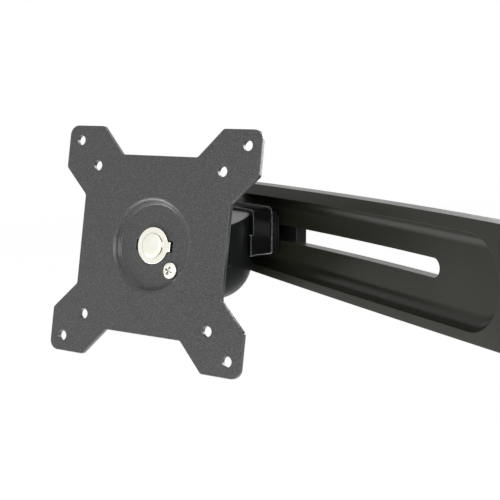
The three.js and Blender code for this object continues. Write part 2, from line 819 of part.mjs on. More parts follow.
addPiece(tiltAxis, 'tilt_bolt', makeTiltBolt(), zinc);
addPiece(tiltAxis, 'tilt_nut', hexNut(tiltHeadAt, tiltHeadAt + tiltNutHeight).rotateY(Math.PI / 2), zinc);
Object.entries({ left: -1, right: 1 }).forEach(([name, side]) => {
  const washer = ring(boltHole, tiltWasherRadius, tiltWasherAt, tiltWasherAt + tiltWasherThick);
  const disc = ring(boltHole, discRadius, hubHalf + gap, hubHalf + gap + discThick);
  addPiece(tiltAxis, `${name}_tilt_washer`, washer.rotateY((side * Math.PI) / 2), zinc);
  addPiece(tiltAxis, `${name}_friction_disc`, disc.rotateY((side * Math.PI) / 2), slidePlastic);
});

// ---------------------------------------------------------------- hub and screen plate
// In this group y is the depth behind the plate's front face.
const screen = new THREE.Group();
screen.rotation.x = -tiltRest;
tiltAxis.add(screen);
const plateSide = new THREE.Group();
plateSide.position.y = -plateAhead;
screen.add(plateSide);

// Groove in the hub that the stop screw runs in over the plate's turning range.
function makeStopGroove() {
  const half = stopRadius + grooveRoom;
  const spare = half / stopCircle;
  const from = stopHome - turnLimit - spare;
  const to = stopHome + turnLimit + spare;
  const outline = new THREE.Shape();
  outline.absarc(0, 0, stopCircle + half, from, to, false);
  outline.absarc(0, 0, stopCircle - half, to, from, true);
  const groove = new THREE.ExtrudeGeometry(outline, {
    depth: stopBite + gap + 1, bevelEnabled: false, curveSegments: 24,
  });
  return groove.rotateX(Math.PI / 2).translate(0, hubAt + stopBite + gap, 0);
}

function makeHub() {
  const back = hubAt + hubFlangeThick;
  const body = join(
    rod(hubFlangeRadius, hubAt, back),
    block([-hubHalf, hubHalf], [back - 1, plateAhead], [-hubEyeRadius, hubEyeRadius]),
    axle(hubEyeRadius, -hubHalf, hubHalf, plateAhead, 0),
  );
  return cut(
    body,
    axle(boltHole, -farOut, farOut, plateAhead, 0),
    rod(boltHole, 0, pivotEnd + gap),
    rod(springRadius + gap, 0, hubAt + springPocket),
    makeStopGroove(),
  );
}

function makeFrictionWasher() {
  return ringY(boltHole, frictionRadius, frictionAt, frictionAt + frictionThick);
}

function makePivotScrew() {
  const seat = pivotFront + pivotHeadHeight;
  const dome = Array.from({ length: 6 }, (_, i) => {
    const angle = (i / 5) * (Math.PI / 2);
    const rise = (pivotHeadHeight - pivotHeadWall) * Math.cos(angle);
    return [pivotHeadRadius * Math.sin(angle), seat - pivotHeadWall - rise];
  });
  dome[0][0] = 0;
  return turned([
    ...dome, [pivotHeadRadius, seat], [boltRadius, seat], [boltRadius, pivotEnd], [0, pivotEnd],
  ]).rotateX(-Math.PI / 2);
}

function makeDiscSpring() {
  const low = hubAt + springPocket - gap;
  return turned([
    [boltHole, low - springRise - springThick], [springRadius, low - springThick],
    [springRadius, low], [boltHole, low - springRise],
    [boltHole, low - springRise - springThick],
  ]).rotateX(-Math.PI / 2);
}

function plateOutline() {
  const inner = plateReach - earLength;
  const quarter = [
    [plateWaist, waistHalf, earSmallCorner], [plateReach, inner, earSmallCorner],
    [plateReach, plateReach, earCorner], [inner, plateReach, earSmallCorner],
    [waistHalf, plateWaist, earSmallCorner],
  ];
  return roundedOutline([0, 1, 2, 3].flatMap((turns) => quarter.map(([x, z, radius]) => {
    const corner = new THREE.Vector2(x, z).rotateAround(new THREE.Vector2(), (turns * Math.PI) / 2);
    return [corner.x, corner.y, radius];
  })));
}

function platePoints(spacing) {
  return [-0.5, 0.5].flatMap((x) => [-0.5, 0.5].map((z) => [x * spacing, z * spacing]));
}

// Radius and depth of the dish's wall, from its rolled lip down to its floor.
function dishWall() {
  const steps = 4;
  const lip = Array.from({ length: steps }, (_, i) => {
    const angle = ((i + 1) / steps) * dishSlope;
    return [dishRadius - dishRoll * Math.sin(angle), dishRoll * (1 - Math.cos(angle))];
  });
  const toe = Array.from({ length: steps }, (_, i) => {
    const angle = (1 - i / (steps - 1)) * dishSlope;
    return [
      dishFloorRadius + dishToe * (Math.sin(angle) - Math.sin(dishSlope) / 2),
      dishDepth - dishToe * (1 - Math.cos(angle)),
    ];
  });
  return [...lip, ...toe];
}

function makePlate() {
  const bossRadius = dishRadius + dishBossWall;
  const bossTop = dishFloorRadius + plateThick;
  const dishBack = turned([
    [0, 0.1], [bossRadius, 0.1], [bossRadius, plateThick],
    [bossTop, floorBack - dishBackEdge], [bossTop - dishBackEdge, floorBack], [0, floorBack],
  ]).rotateX(-Math.PI / 2);
  const dishFront = turned([
    [0, -1], [dishRadius, -1], [dishRadius, 0], ...dishWall(), [0, dishDepth],
  ]).rotateX(-Math.PI / 2);
  const holes = [smallPattern, largePattern].flatMap((spacing) => (
    platePoints(spacing).map(([x, z]) => rod(screwHoleRadius, -1, plateThick + 1, x, z))
  ));
  return cut(
    join(panel(plateOutline(), 0, plateThick), dishBack),
    dishFront,
    rod(boltHole, 0, floorBack + 1),
    block([-notchHalfSpan, notchHalfSpan], [0, floorBack + 1], [-notchHalf, notchHalf]),
    rod(stopRadius + boltGap, 0, floorBack + 1, stopX, stopZ),
    ...holes,
  );
}

function makeKeyedWasher() {
  const back = washerFront + keyedThick;
  const height = [-keyedEarHalf, keyedEarHalf];
  const tabs = [
    [-keyedEarLeft, keyedThick - keyedEarLeft], [keyedEarRight - keyedThick, keyedEarRight],
  ].map((reach) => block(reach, [washerFront, back + keyedTabDepth], height));
  const disc = rod(keyedRadius, washerFront, back);
  const ears = block([-keyedEarLeft, keyedEarRight], [washerFront, back], height);
  return cut(join(disc, ears, ...tabs), rod(boltHole, washerFront - 1, back + 1));
}

function makeStopScrew() {
  const seat = dishDepth - gap;
  const front = seat - stopHeadHeight;
  const body = turned([
    [0, front], [0.6 * stopHead, front], [0.9 * stopHead, front + 0.35 * stopHeadHeight],
    [stopHead, front + 0.75 * stopHeadHeight], [stopHead, seat], [stopRadius, seat],
    [stopRadius, hubAt + stopBite], [0, hubAt + stopBite],
  ]).rotateX(-Math.PI / 2);
  const wide = crossWidth / 2;
  const long = crossLength / 2;
  const deep = front + crossDepth;
  return cut(
    body,
    block([-long, long], [front - 1, deep], [-wide, wide]),
    block([-wide, wide], [front - 1, deep], [-long, long]),
  ).translate(stopX, 0, stopZ);
}

addPiece(plateSide, 'tilt_hub', makeHub(), satinBlack);
addPiece(plateSide, 'friction_washer', makeFrictionWasher(), fibre);
addPiece(plateSide, 'disc_spring', makeDiscSpring(), zinc);
addPiece(plateSide, 'pivot_screw', makePivotScrew(), nickel);
addPiece(plateSide, 'screen_plate', makePlate(), platePowder);
addPiece(plateSide, 'keyed_washer', makeKeyedWasher(), nickel);
addPiece(plateSide, 'stop_screw', makeStopScrew(), nickel);

export default arm;
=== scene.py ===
import json
import math

import bmesh
import bpy
from bpy.props import FloatProperty, FloatVectorProperty, IntProperty, PointerProperty
from mathutils import Matrix, Vector


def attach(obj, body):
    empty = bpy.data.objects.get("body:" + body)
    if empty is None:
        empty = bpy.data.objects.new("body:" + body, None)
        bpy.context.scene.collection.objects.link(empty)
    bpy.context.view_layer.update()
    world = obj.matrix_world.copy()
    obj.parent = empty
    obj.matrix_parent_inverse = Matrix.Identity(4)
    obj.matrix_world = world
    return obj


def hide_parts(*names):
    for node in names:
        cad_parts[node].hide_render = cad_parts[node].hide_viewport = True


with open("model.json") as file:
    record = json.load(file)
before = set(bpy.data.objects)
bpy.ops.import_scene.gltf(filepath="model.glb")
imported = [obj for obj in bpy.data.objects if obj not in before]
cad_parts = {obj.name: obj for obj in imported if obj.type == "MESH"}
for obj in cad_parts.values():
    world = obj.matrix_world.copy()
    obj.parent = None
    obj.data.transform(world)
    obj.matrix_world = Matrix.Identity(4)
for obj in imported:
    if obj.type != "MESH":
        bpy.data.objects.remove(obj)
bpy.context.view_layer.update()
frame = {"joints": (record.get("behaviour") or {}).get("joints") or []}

bl_info = {
    "name": "Curved monitor arm",
    "version": (1, 0, 0),
    "blender": (4, 5, 0),
    "location": "3D View > Sidebar > Monitor Arm",
    "description": "Builds a bowed monitor arm with a sliding, swivelling and tilting screen plate",
    "category": "Object",
}

JOINTS = {joint["name"]: joint for joint in frame["joints"]}
MM = 0.001
GAP = 0.3 * MM  # between pieces that run in or lie against each other
FAR = 50 * MM  # past every face of the piece being cut
NEAR = 1e-6  # a point this close to a plane lies on it
SAME_POINT = 1e-7  # points this close are one
SHORT_EDGE = 0.06 * MM  # edges up to this length are merged after a cut
FULL_TURN = 2 * math.pi
HOLE_STEPS, SCREW_STEPS, DISC_STEPS, BODY_STEPS, DISH_STEPS = 48, 64, 96, 128, 160  # facets round
CORNER_STEPS = 8  # facets of a rounded corner
SHARP = math.radians(25)  # least angle of an edge that is picked for rounding
LEVEL = math.radians(0.1)  # greatest angle between faces that are joined into one
CREASE, FINE_CREASE, BLUNT_CREASE = 32, 14, 60  # degrees from which an edge is softened or sharp
AREA_WEIGHT = 100  # lets broad faces alone set the shading at their edges
Z_AXIS = Vector((0, 0, 1))


# ------------------------------------------------------------------ places, from the frame
def pivot(joint):
    return Vector(JOINTS[joint]["pos_m"])


def spindle(joint):
    return Vector(JOINTS[joint]["axis"]).normalized()


def placed(x_axis, y_axis, origin):
    """Matrix of a piece's own frame, from its X and Y axes and its origin."""
    matrix = Matrix((x_axis, y_axis, x_axis.cross(y_axis))).transposed().to_4x4()
    matrix.translation = origin
    return matrix


def beam_place():
    """Straight beam's frame: X along the foot, Y behind the beam's front face."""
    front = Vector((0, pivot("carriage_travel").y + sizes("beam").bow_radius, 0))
    return Matrix.Translation(front)


def foot_screw_place(x, z):
    """Frame of a screw that enters the bowed front face at x, z."""
    radius = sizes("beam").bow_radius
    swing = Matrix.Rotation(-x / radius, 4, "Z")
    centre = Matrix.Translation(pivot("carriage_travel"))
    return centre @ swing @ Matrix.Translation((0, radius, z))


def carriage_place():
    outward = pivot("head_swivel") - pivot("carriage_travel")
    outward.z = 0
    outward.normalize()
    origin = pivot("carriage_travel") + outward * sizes("beam").bow_radius
    return placed(outward.cross(Z_AXIS), outward, origin)


def head_place(joint="head_swivel"):
    across = spindle("head_tilt")
    return placed(across, Z_AXIS.cross(across), pivot(joint))


def tilt_ahead():
    """Place of the tilt axis along the head's Y, which points away from the screen."""
    return -(pivot("head_tilt") - pivot("head_swivel")).xy.length


def plate_place():
    return placed(spindle("head_tilt"), -spindle("plate_turn"), pivot("plate_turn"))


# ------------------------------------------------------------------ sizes and colours
def length(name, millimetres, description):
    return FloatProperty(
        name=name, description=description, default=millimetres * MM, unit="LENGTH", precision=5
    )


def angle(name, degrees, description):
    return FloatProperty(
        name=name, description=description, default=math.radians(degrees), subtype="ANGLE"
    )


def colour(name, value, description):
    return FloatVectorProperty(
        name=name, description=description, default=value, subtype="COLOR", size=3, min=0, max=1
    )


def power(name, watts, description):
    return FloatProperty(name=name, description=description, default=watts, unit="POWER")


class BeamSizes(bpy.types.PropertyGroup):
    bow_radius: length("Bow radius", 1064, "Plan radius of the front face")
    height: length("Height", 50, "Height of the beam at its root")
    thick: length("Thickness", 13.3, "Front face to back face")
    tip: length("Tip", 352, "Middle of the foot to the tip")
    tail: length("Tail", 38, "Middle of the foot to the other end")
    back_round: length("Back rounding", 5, "Radius along the back edges")
    front_round: length("Front rounding", 0.9, "Radius along the front edges")
    belly_at: length("Belly place", 137, "Where the lower edge hangs lowest")
    belly_radius: length("Belly radius", 2500, "Radius of the lower edge")
    tip_round: length("Tip corners", 12, "Corner radius at the tip")
    tail_round: length("Tail corners", 6, "Corner radius at the other end")
    trough_near: length("Trough start", 55.5, "End of the trough nearest the foot")
    trough_far: length("Trough end", 338, "End of the trough nearest the tip")
    trough_top: length("Trough top", 19.25, "Upper rim above the middle")
    trough_border: length("Trough border", 4.5, "Rim below the trough")
    trough_depth: length("Trough depth", 7, "Front face to the trough's floor")
    trough_fillet: length("Trough fillet", 6.4, "Radius where wall and floor meet")
    slot_near: length("Slot start", 103.4, "End of the slot nearest the foot")
    slot_far: length("Slot end", 292, "End of the slot nearest the tip")
    slot_width: length("Slot width", 8.4, "Height of the slot")


class FootSizes(bpy.types.PropertyGroup):
    long: length("Length", 76, "Length of the foot plate")
    high: length("Height", 84, "Height of the foot plate")
    thick: length("Thickness", 8, "Thickness of the foot plate")
    corner: length("Corners", 7, "Corner radius of the foot plate")
    pedestal: length("Pedestal", 12.4, "Height of the block under the beam")
    pedestal_long: length("Pedestal length", 68, "Length of the block")
    pedestal_top: length("Pedestal top", 17, "Top of the block above the middle")
    pedestal_bottom: length("Pedestal bottom", 12, "Bottom of the block below the middle")
    hole_x: length("Hole place X", 25, "Mounting holes from the middle, along the foot")
    hole_z: length("Hole place Z", 33, "Mounting holes from the middle, upwards")
    hole_radius: length("Hole radius", 3.3, "Radius of the mounting holes")
    screw_x: length("Screw place X", 22, "Beam screws from the middle, along the foot")
    screw_z: length("Screw place Z", 8.5, "Beam screws from the middle, upwards")
    screw_radius: length("Screw radius", 2.95, "Radius of the beam screws")
    screw_head: length("Screw head", 5.2, "Radius of the screw heads")
    screw_head_height: length("Head height", 3, "Height of the screw heads")
    screw_sink: length("Head sink", 0.7, "Depth of the heads below the face")


class CarriageSizes(bpy.types.PropertyGroup):
    slider_long: length("Slider length", 42, "Length of the slider block")
    slider_high: length("Slider height", 22, "Height of the slider block")
    slider_front: length("Slider face", 2.3, "Depth of the slider's face")
    liner_thick: length("Liner", 0.8, "Thickness of the slide liners")
    liner_high: length("Front liner height", 18, "Height of the front liner")
    clamp_long: length("Clamp length", 53, "Length of the clamp plate")
    clamp_high: length("Clamp height", 26, "Height of the clamp plate")
    clamp_thick: length("Clamp thickness", 5.6, "Thickness of the clamp plate")
    stud_radius: length("Stud", 3.9, "Radius of the stud")
    stud_head: length("Stud head", 7, "Radius of the stud's head")
    stud_head_height: length("Stud head height", 1.7, "Height of the stud's head")
    knob_radius: length("Knob radius", 13.5, "Radius over the knob's lobes")
    knob_lobe: length("Knob lobes", 1.4, "Depth of the hollows between lobes")
    knob_depth: length("Knob depth", 8.5, "Height of the knob")
    knob_lobes: IntProperty(name="Lobes", description="Number of lobes on the knob", default=6)
    knob_roof: length("Knob roof", 2.2, "Solid end of the knob")
    insert_radius: length("Insert", 6.5, "Radius of the brass insert")
    washer_thick: length("Washer", 1.5, "Thickness of the knob's washer")
    washer_radius: length("Washer radius", 9, "Radius of the knob's washer")


class SaddleSizes(bpy.types.PropertyGroup):
    half: length("Half width", 20.9, "Half the bracket's width")
    top: length("Top", 13, "Top above the middle of the beam")
    bottom: length("Bottom", -11.5, "Underside from the middle of the beam")
    corner: length("Corner", 3, "Radius of the upper corners")
    flange: length("Flange", 1.7, "Thickness of the top flange")
    reach_upper: length("Upper reach", 10, "Length of the cheeks' upper half")
    reach_lower: length("Lower reach", 11.5, "Length of the cheeks' lower half")
    back: length("Back", 2, "Depth of the back plate in the trough")
    rim: length("Rim", 1, "Height and thickness of the rim round the back plate")
    rim_bottom: length("Rim bottom", -10.6, "Underside of the rim from the beam's middle")
    tongue_half: length("Tongue", 8, "Half the tongue's width")
    tongue_bottom: length("Tongue height", -10, "Underside of the tongue")
    tongue_thick: length("Tongue thickness", 7, "Thickness of the tongue")
    eye_radius: length("Eye", 9.5, "Radius of the tongue's eye")
    tongue_room: length("Tongue room", 0.5, "Space beside the tongue in the housing")
    screw_x: length("Screw place X", 15.5, "Screws from the middle, along the beam")
    screw_z: length("Screw place Z", 7, "Screws from the middle, upwards")
    screw_radius: length("Screw radius", 1.95, "Radius of the screws")
    screw_head: length("Screw head", 3.6, "Radius of the countersunk heads")
    screw_bite: length("Screw bite", 3.6, "Depth of the screws past the beam's face")


class HeadSizes(bpy.types.PropertyGroup):
    radius: length("Housing radius", 20.5, "Radius of the swivel housing")
    dome: length("Dome centre", -15.4, "Centre of the dome below the beam's middle")
    cap_plane: length("Top height", 8.4, "Height of the slanted top on the axis")
    cap_slope: angle("Top slope", 14.4, "Slope of the top, down towards the screen")
    cap_height: length("Cap height", 3, "Thickness of the grey cap")
    cap_face: length("Cap face", 16, "Radius of the cap's flat face")
    cap_skirt: length("Cap skirt", 1.8, "Wall of the ring under the cap")
    bolt: length("Bolt radius", 4, "Radius of the swivel, tilt and pivot bolts")
    hex: length("Hexagon", 7.4, "Radius over the corners of heads and nuts")
    nut: length("Nut", 4, "Height of the swivel nut")
    nut_seat: length("Nut seat", 2.5, "Floor of the nut's recess")
    swivel_head: length("Bolt head", 6.5, "Radius of the swivel bolt's head")
    swivel_head_height: length("Bolt head height", 4.7, "Height of the swivel bolt's head")
    swivel_head_top: length("Bolt seat", -19.3, "Height of the swivel bolt's seat")
    ear_inner: length("Ear gap", 11.6, "Half the space between the ears")
    ear_thick: length("Ear", 6, "Thickness of each ear")
    ear_radius: length("Ear radius", 10.5, "Radius of each ear's round end")
    ear_shoulder: length("Ear shoulder", 6.6, "Top of the ear's arm above the tilt axis")
    disc: length("Friction disc", 1, "Thickness of the friction discs")
    disc_radius: length("Disc radius", 9.5, "Radius of the friction discs")
    washer: length("Tilt washer", 1.2, "Thickness of the tilt washers")
    washer_radius: length("Washer radius", 8, "Radius of the tilt washers")
    tilt_head: length("Tilt bolt head", 4.7, "Height of the tilt bolt's head")
    tilt_nut: length("Tilt nut", 5.6, "Height of the tilt nut")
    hub_eye: length("Hub eye", 9.8, "Radius of the hub's eye")
    hub_flange: length("Hub flange", 20, "Radius of the hub's flange")
    hub_flange_thick: length("Flange thickness", 4.5, "Thickness of the hub's flange")
    swivel_limit: angle("Swivel limit", 55, "Swivel to either side of straight ahead")


class PlateSizes(bpy.types.PropertyGroup):
    thick: length("Thickness", 2.5, "Sheet thickness")
    reach: length("Reach", 57.6, "Half the width over the ears")
    waist: length("Waist", 43.7, "Half the width over the waist")
    waist_half: length("Waist edge", 22.6, "Half the length of each straight waist edge")
    ear: length("Ear edge", 21.6, "Length of each ear's outer edge")
    corner: length("Corner", 5, "Radius of the ears' outer corners")
    small_corner: length("Small corner", 2, "Radius of the other corners")
    hole: length("Hole", 2.5, "Radius of the screw holes")
    small_pattern: length("Small pattern", 75, "Side of the small square of holes")
    large_pattern: length("Large pattern", 100, "Side of the large square of holes")
    dish: length("Dish", 24, "Radius where the face rolls into the dish")
    dish_floor: length("Dish floor", 20.2, "Radius of the dish's floor")
    dish_depth: length("Dish depth", 3.1, "Front face to the dish's floor")
    dish_roll: length("Dish lip", 2.9, "Radius of the dish's rolled lip")
    dish_toe: length("Dish toe", 1.1, "Radius where the dish's wall meets its floor")
    dish_slope: angle("Dish slope", 72, "Steepest slope of the dish's wall")
    pivot_head: length("Pivot head", 5.85, "Radius of the pivot screw's head")
    pivot_head_height: length("Pivot head height", 1.3, "Height of the pivot screw's head")
    washer: length("Keyed washer", 9, "Radius of the keyed washer")
    washer_thick: length("Washer thickness", 0.9, "Thickness of the keyed washer")
    washer_ear_right: length("Right ear", 10.4, "Reach of the washer's wide ear")
    washer_ear_left: length("Left ear", 8.6, "Reach of the tab folded close under the disc")
    washer_ear_half: length("Ear half height", 2.4, "Half the height of each ear")
    notch: length("Notch", 11, "Half the span of the plate's notches")
    stop_x: length("Stop screw X", 11.3, "Stop screw to the right of the pivot")
    stop_z: length("Stop screw Z", -11.3, "Stop screw from the pivot, upwards")
    stop_head: length("Stop head", 4, "Radius of the stop screw's head")
    stop_head_height: length("Stop head height", 1.7, "Height of the stop screw's head")
    plate_ahead: length("Plate ahead", 24, "Front face in front of the tilt axis")


class FinishColours(bpy.types.PropertyGroup):
    beam_paint: colour("Beam", (0.011, 0.0117, 0.0072), "Charcoal paint of the beam")
    satin_paint: colour("Satin black", (0.013, 0.0145, 0.015), "Foot, slider, housing and hub")
    gloss_paint: colour("Gloss black", (0.009, 0.009, 0.0095), "Saddle bracket")
    plate_powder: colour("Screen plate", (0.036, 0.037, 0.0365), "Powder coat of the screen plate")
    cap_plastic: colour("Cap", (0.31, 0.31, 0.3), "Grey cap on the swivel housing")
    zinc_plate: colour("Zinc", (0.50, 0.51, 0.52), "Plated screws, nuts and washers")
    nickel: colour("Nickel", (0.93, 0.92, 0.85), "Bright fixings in the dish")
    slide_plastic: colour("Slide plastic", (0.012, 0.012, 0.012), "Liners, bushes and discs")
    knob_plastic: colour("Knob", (0.009, 0.009, 0.009), "Grained clamp knob")
    brass: colour("Brass", (0.62, 0.43, 0.17), "Insert of the knob")
    friction_fibre: colour("Fibre", (0.16, 0.055, 0.03), "Friction washer")


class StageSettings(bpy.types.PropertyGroup):
    camera_at: FloatVectorProperty(
        name="Camera", description="Place of the camera", size=3, subtype="TRANSLATION",
        default=(0.26263, -0.25187, 0.0733),
    )
    heading: angle("Heading", 69.75, "Camera's turn about the upright axis")
    pitch: angle("Pitch", -8.82, "Camera's tilt from level")
    lens: FloatProperty(name="Lens", description="Focal length", default=73.3, unit="CAMERA")
    floor_depth: length("Floor", -700, "Height of the floor below the arm")
    surround: FloatProperty(name="Surround", description="Soft light from all round", default=0.012)
    overhead: power("Overhead", 2.7, "Power of the lamp above")
    front: power("Front", 8.5, "Power of the wide lamp in front")
    window: power("Window", 3.2, "Power of the lamp at the right")
    side: power("Side", 3, "Power of the lamp at the foot's side")
    rear: power("Rear", 18, "Power of the wide lamp behind")


GROUPS = {
    "beam": BeamSizes,
    "foot": FootSizes,
    "carriage": CarriageSizes,
    "saddle": SaddleSizes,
    "head": HeadSizes,
    "plate": PlateSizes,
    "finish": FinishColours,
    "stage": StageSettings,
}


def sizes(group):
    return getattr(bpy.context.scene, "monitor_arm_" + group)


# ------------------------------------------------------------------ mesh tools
def bevel(mesh, geom, offset, segments, affect, clamp_overlap):
    bmesh.ops.bevel(
        mesh, geom=geom, offset=offset, offset_type="OFFSET", segments=segments,
        profile=0.5, affect=affect, clamp_overlap=clamp_overlap, material=-1,
    )


def outline(corners, y=0.0, segments=6):
    """A face in the X-Z plane at depth y, from (x, z, radius) corners."""
    mesh = bmesh.new()
    points = [mesh.verts.new((x, y, z)) for x, z, _ in corners]
    mesh.faces.new(points)
    places = [Vector(corner[:2]) for corner in corners]
    for i, point in enumerate(points):
        radius = corners[i][2]
        if radius:
            back = places[i - 1] - places[i]
            ahead = places[(i + 1) % len(places)] - places[i]
            reach = radius / math.tan(back.angle(ahead) / 2)
            bevel(mesh, [point], reach, segments, "VERTICES", False)
    return mesh


def thicken(mesh, vector):
    """Turns the mesh's one face into a solid, swept along the vector."""
    made = bmesh.ops.extrude_face_region(mesh, geom=mesh.faces[:])
    moved = [item for item in made["geom"] if isinstance(item, bmesh.types.BMVert)]
    bmesh.ops.translate(mesh, verts=moved, vec=vector)
    bmesh.ops.recalc_face_normals(mesh, faces=mesh.faces)
    return mesh


def panel(corners, y0, y1, segments=6):
    return thicken(outline(corners, y0, segments), (0, y1 - y0, 0))


def box_corners(half, z0, z1, lower, upper):
    """Corners of a box in the X-Z plane, with the radius of its lower and of its upper ones."""
    return [(-half, z0, lower), (half, z0, lower), (half, z1, upper), (-half, z1, upper)]


def block(x_range, y_range, z_range):
    mesh = bmesh.new()
    low = Vector((x_range[0], y_range[0], z_range[0]))
    high = Vector((x_range[1], y_range[1], z_range[1]))
    scale = Matrix.Diagonal((*(high - low), 1))
    bmesh.ops.create_cube(mesh, size=1, matrix=Matrix.Translation((low + high) / 2) @ scale)
    return mesh


def turned(points, steps=DISC_STEPS):
    """A piece turned about the Z axis, from (radius, height) points."""
    mesh = bmesh.new()
    profile = [mesh.verts.new((radius, 0, height)) for radius, height in points]
    edges = [mesh.edges.new(pair) for pair in zip(profile, profile[1:])]
    bmesh.ops.spin(
        mesh, geom=profile + edges, axis=Z_AXIS, cent=(0, 0, 0), angle=FULL_TURN,
        steps=steps, use_merge=True,
    )
    bmesh.ops.remove_doubles(mesh, verts=mesh.verts, dist=SAME_POINT)
    bmesh.ops.recalc_face_normals(mesh, faces=mesh.faces)
    return mesh


def drum(radius, z0, z1, steps=DISC_STEPS):
    return turned([(0, z0), (radius, z0), (radius, z1), (0, z1)], steps)


def ring(inner, outer, z0, z1, steps=DISC_STEPS):
    return turned([(inner, z0), (outer, z0), (outer, z1), (inner, z1), (inner, z0)], steps)


def turn(mesh, angle_value, axis):
    bmesh.ops.rotate(
        mesh, verts=mesh.verts, cent=(0, 0, 0), matrix=Matrix.Rotation(angle_value, 3, axis)
    )
    return mesh


def shift(mesh, x=0.0, y=0.0, z=0.0):
    bmesh.ops.translate(mesh, verts=mesh.verts, vec=(x, y, z))
    return mesh


def along_y(mesh):
    """Turns a piece made along Z so that it runs along Y."""
    return turn(mesh, -math.pi / 2, "X")


def along_x(mesh):
    """Turns a piece made along Z so that it runs along X."""
    return turn(mesh, math.pi / 2, "Y")


def rod(radius, y0, y1, x=0.0, z=0.0, steps=SCREW_STEPS):
    return shift(along_y(drum(radius, y0, y1, steps)), x, 0, z)


def axle(radius, x0, x1, y=0.0, z=0.0, steps=SCREW_STEPS):
    return shift(along_x(drum(radius, x0, x1, steps)), 0, y, z)


def hex_bar(radius, z0, z1):
    return drum(radius, z0, z1, 6)


def loose(mesh, name):
    """Moves a bmesh into a new object, which is linked so that modifiers can read it."""
    data = bpy.data.meshes.new(name)
    mesh.to_mesh(data)
    mesh.free()
    piece = bpy.data.objects.new(name, data)
    bpy.context.scene.collection.objects.link(piece)
    return piece


def combined(operation, base, tools):
    """The base joined with the tools or cut by them."""
    helpers = [loose(tool, "tool") for tool in tools]
    target = loose(base, "target")
    for helper in helpers:
        step = target.modifiers.new("step", "BOOLEAN")
        step.operation = operation
        step.solver = "MANIFOLD"
        step.object = helper
    shaped = target.evaluated_get(bpy.context.evaluated_depsgraph_get())
    result = bmesh.new()
    result.from_mesh(shaped.to_mesh())
    shaped.to_mesh_clear()
    stray = [point for point in result.verts if not point.link_faces]
    bmesh.ops.delete(result, geom=stray, context="VERTS")
    bmesh.ops.dissolve_degenerate(result, edges=result.edges, dist=SHORT_EDGE)
    for thing in [target, *helpers]:
        data = thing.data
        bpy.data.objects.remove(thing)
        bpy.data.meshes.remove(data)
    return result


def cut(base, *tools):
    return combined("DIFFERENCE", base, tools)


def join(base, *others):
    return combined("UNION", base, others)


def round_edges(mesh, edges, radius, segments):
    bevel(mesh, edges, radius, segments, "EDGES", True)
    return mesh


def edges_at(mesh, test):
    """Sharp edges whose two ends both pass the test."""
    return [
        edge for edge in mesh.edges
        if edge.is_manifold and edge.calc_face_angle() > SHARP
        and all(test(end.co) for end in edge.verts)
    ]


def add_piece(
    name, mesh, place, body, slot_name, stands_for, softness=0.0, segments=2, crease=CREASE
):
    """Puts a finished bmesh into the scene at its place, riding on a body."""
    if softness:
        # many-sided faces with holes fold over when their edges move in
        bmesh.ops.dissolve_limit(mesh, angle_limit=LEVEL, verts=mesh.verts, edges=mesh.edges)
        many = [face for face in mesh.faces if len(face.verts) > 4]
        bmesh.ops.triangulate(mesh, faces=many, ngon_method="BEAUTY")
    mesh.transform(place)
    piece = loose(mesh, name)
    piece.data.shade_smooth()
    if softness:
        soften = piece.modifiers.new("soft edges", "BEVEL")
        soften.width = softness
        soften.segments = segments
        soften.limit_method = "ANGLE"
        soften.angle_limit = math.radians(crease)
        soften.use_clamp_overlap = False
        soften.loop_slide = False
    else:
        piece.data.set_sharp_from_angle(angle=math.radians(crease))
    weight = piece.modifiers.new("flat faces", "WEIGHTED_NORMAL")
    weight.keep_sharp = True
    weight.weight = AREA_WEIGHT
    piece.data.materials.append(finish(slot_name))
    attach(piece, body)
    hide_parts(*stands_for)
    return piece


# ------------------------------------------------------------------ shared effects
def add_node(tree, kind, sockets=(), **settings):
    """Adds a node, with its settings, and with values or links on its input sockets."""
    made = tree.nodes.new("ShaderNode" + kind)
    for name, value in settings.items():
        setattr(made, name, value)
    for name, value in dict(sockets).items():
        if isinstance(value, bpy.types.NodeSocket):
            tree.links.new(value, made.inputs[name])
        else:
            made.inputs[name].default_value = value
    return made


def new_group(name, inputs, outputs):
    """An empty node group with float inputs and outputs, and its two end nodes."""
    tree = bpy.data.node_groups.new(name, "ShaderNodeTree")
    number = "NodeSocketFloat"
    for label, value in inputs.items():
        socket = tree.interface.new_socket(name=label, in_out="INPUT", socket_type=number)
        socket.default_value = value
    for label in outputs:
        tree.interface.new_socket(name=label, in_out="OUTPUT", socket_type=number)
    return tree, tree.nodes.new("NodeGroupInput"), tree.nodes.new("NodeGroupOutput")


def noise(tree, scale, detail=2.0, roughness=0.5):
    """Noise over the object's own coordinates, in cells per metre."""
    place = add_node(tree, "TexCoord").outputs["Object"]
    sockets = {"Vector": place, "Scale": scale, "Detail": detail, "Roughness": roughness}
    return add_node(tree, "TexNoise", sockets).outputs["Fac"]


def remap(tree, value, low, high, to_low=0.0, to_high=1.0):
    sockets = {
        "Value": value, "From Min": low, "From Max": high, "To Min": to_low, "To Max": to_high,
    }
    return add_node(tree, "MapRange", sockets, clamp=True).outputs["Result"]


def maths(tree, operation, first, second):
    sockets = {0: first, 1: second}
    return add_node(tree, "Math", sockets, operation=operation).outputs["Value"]


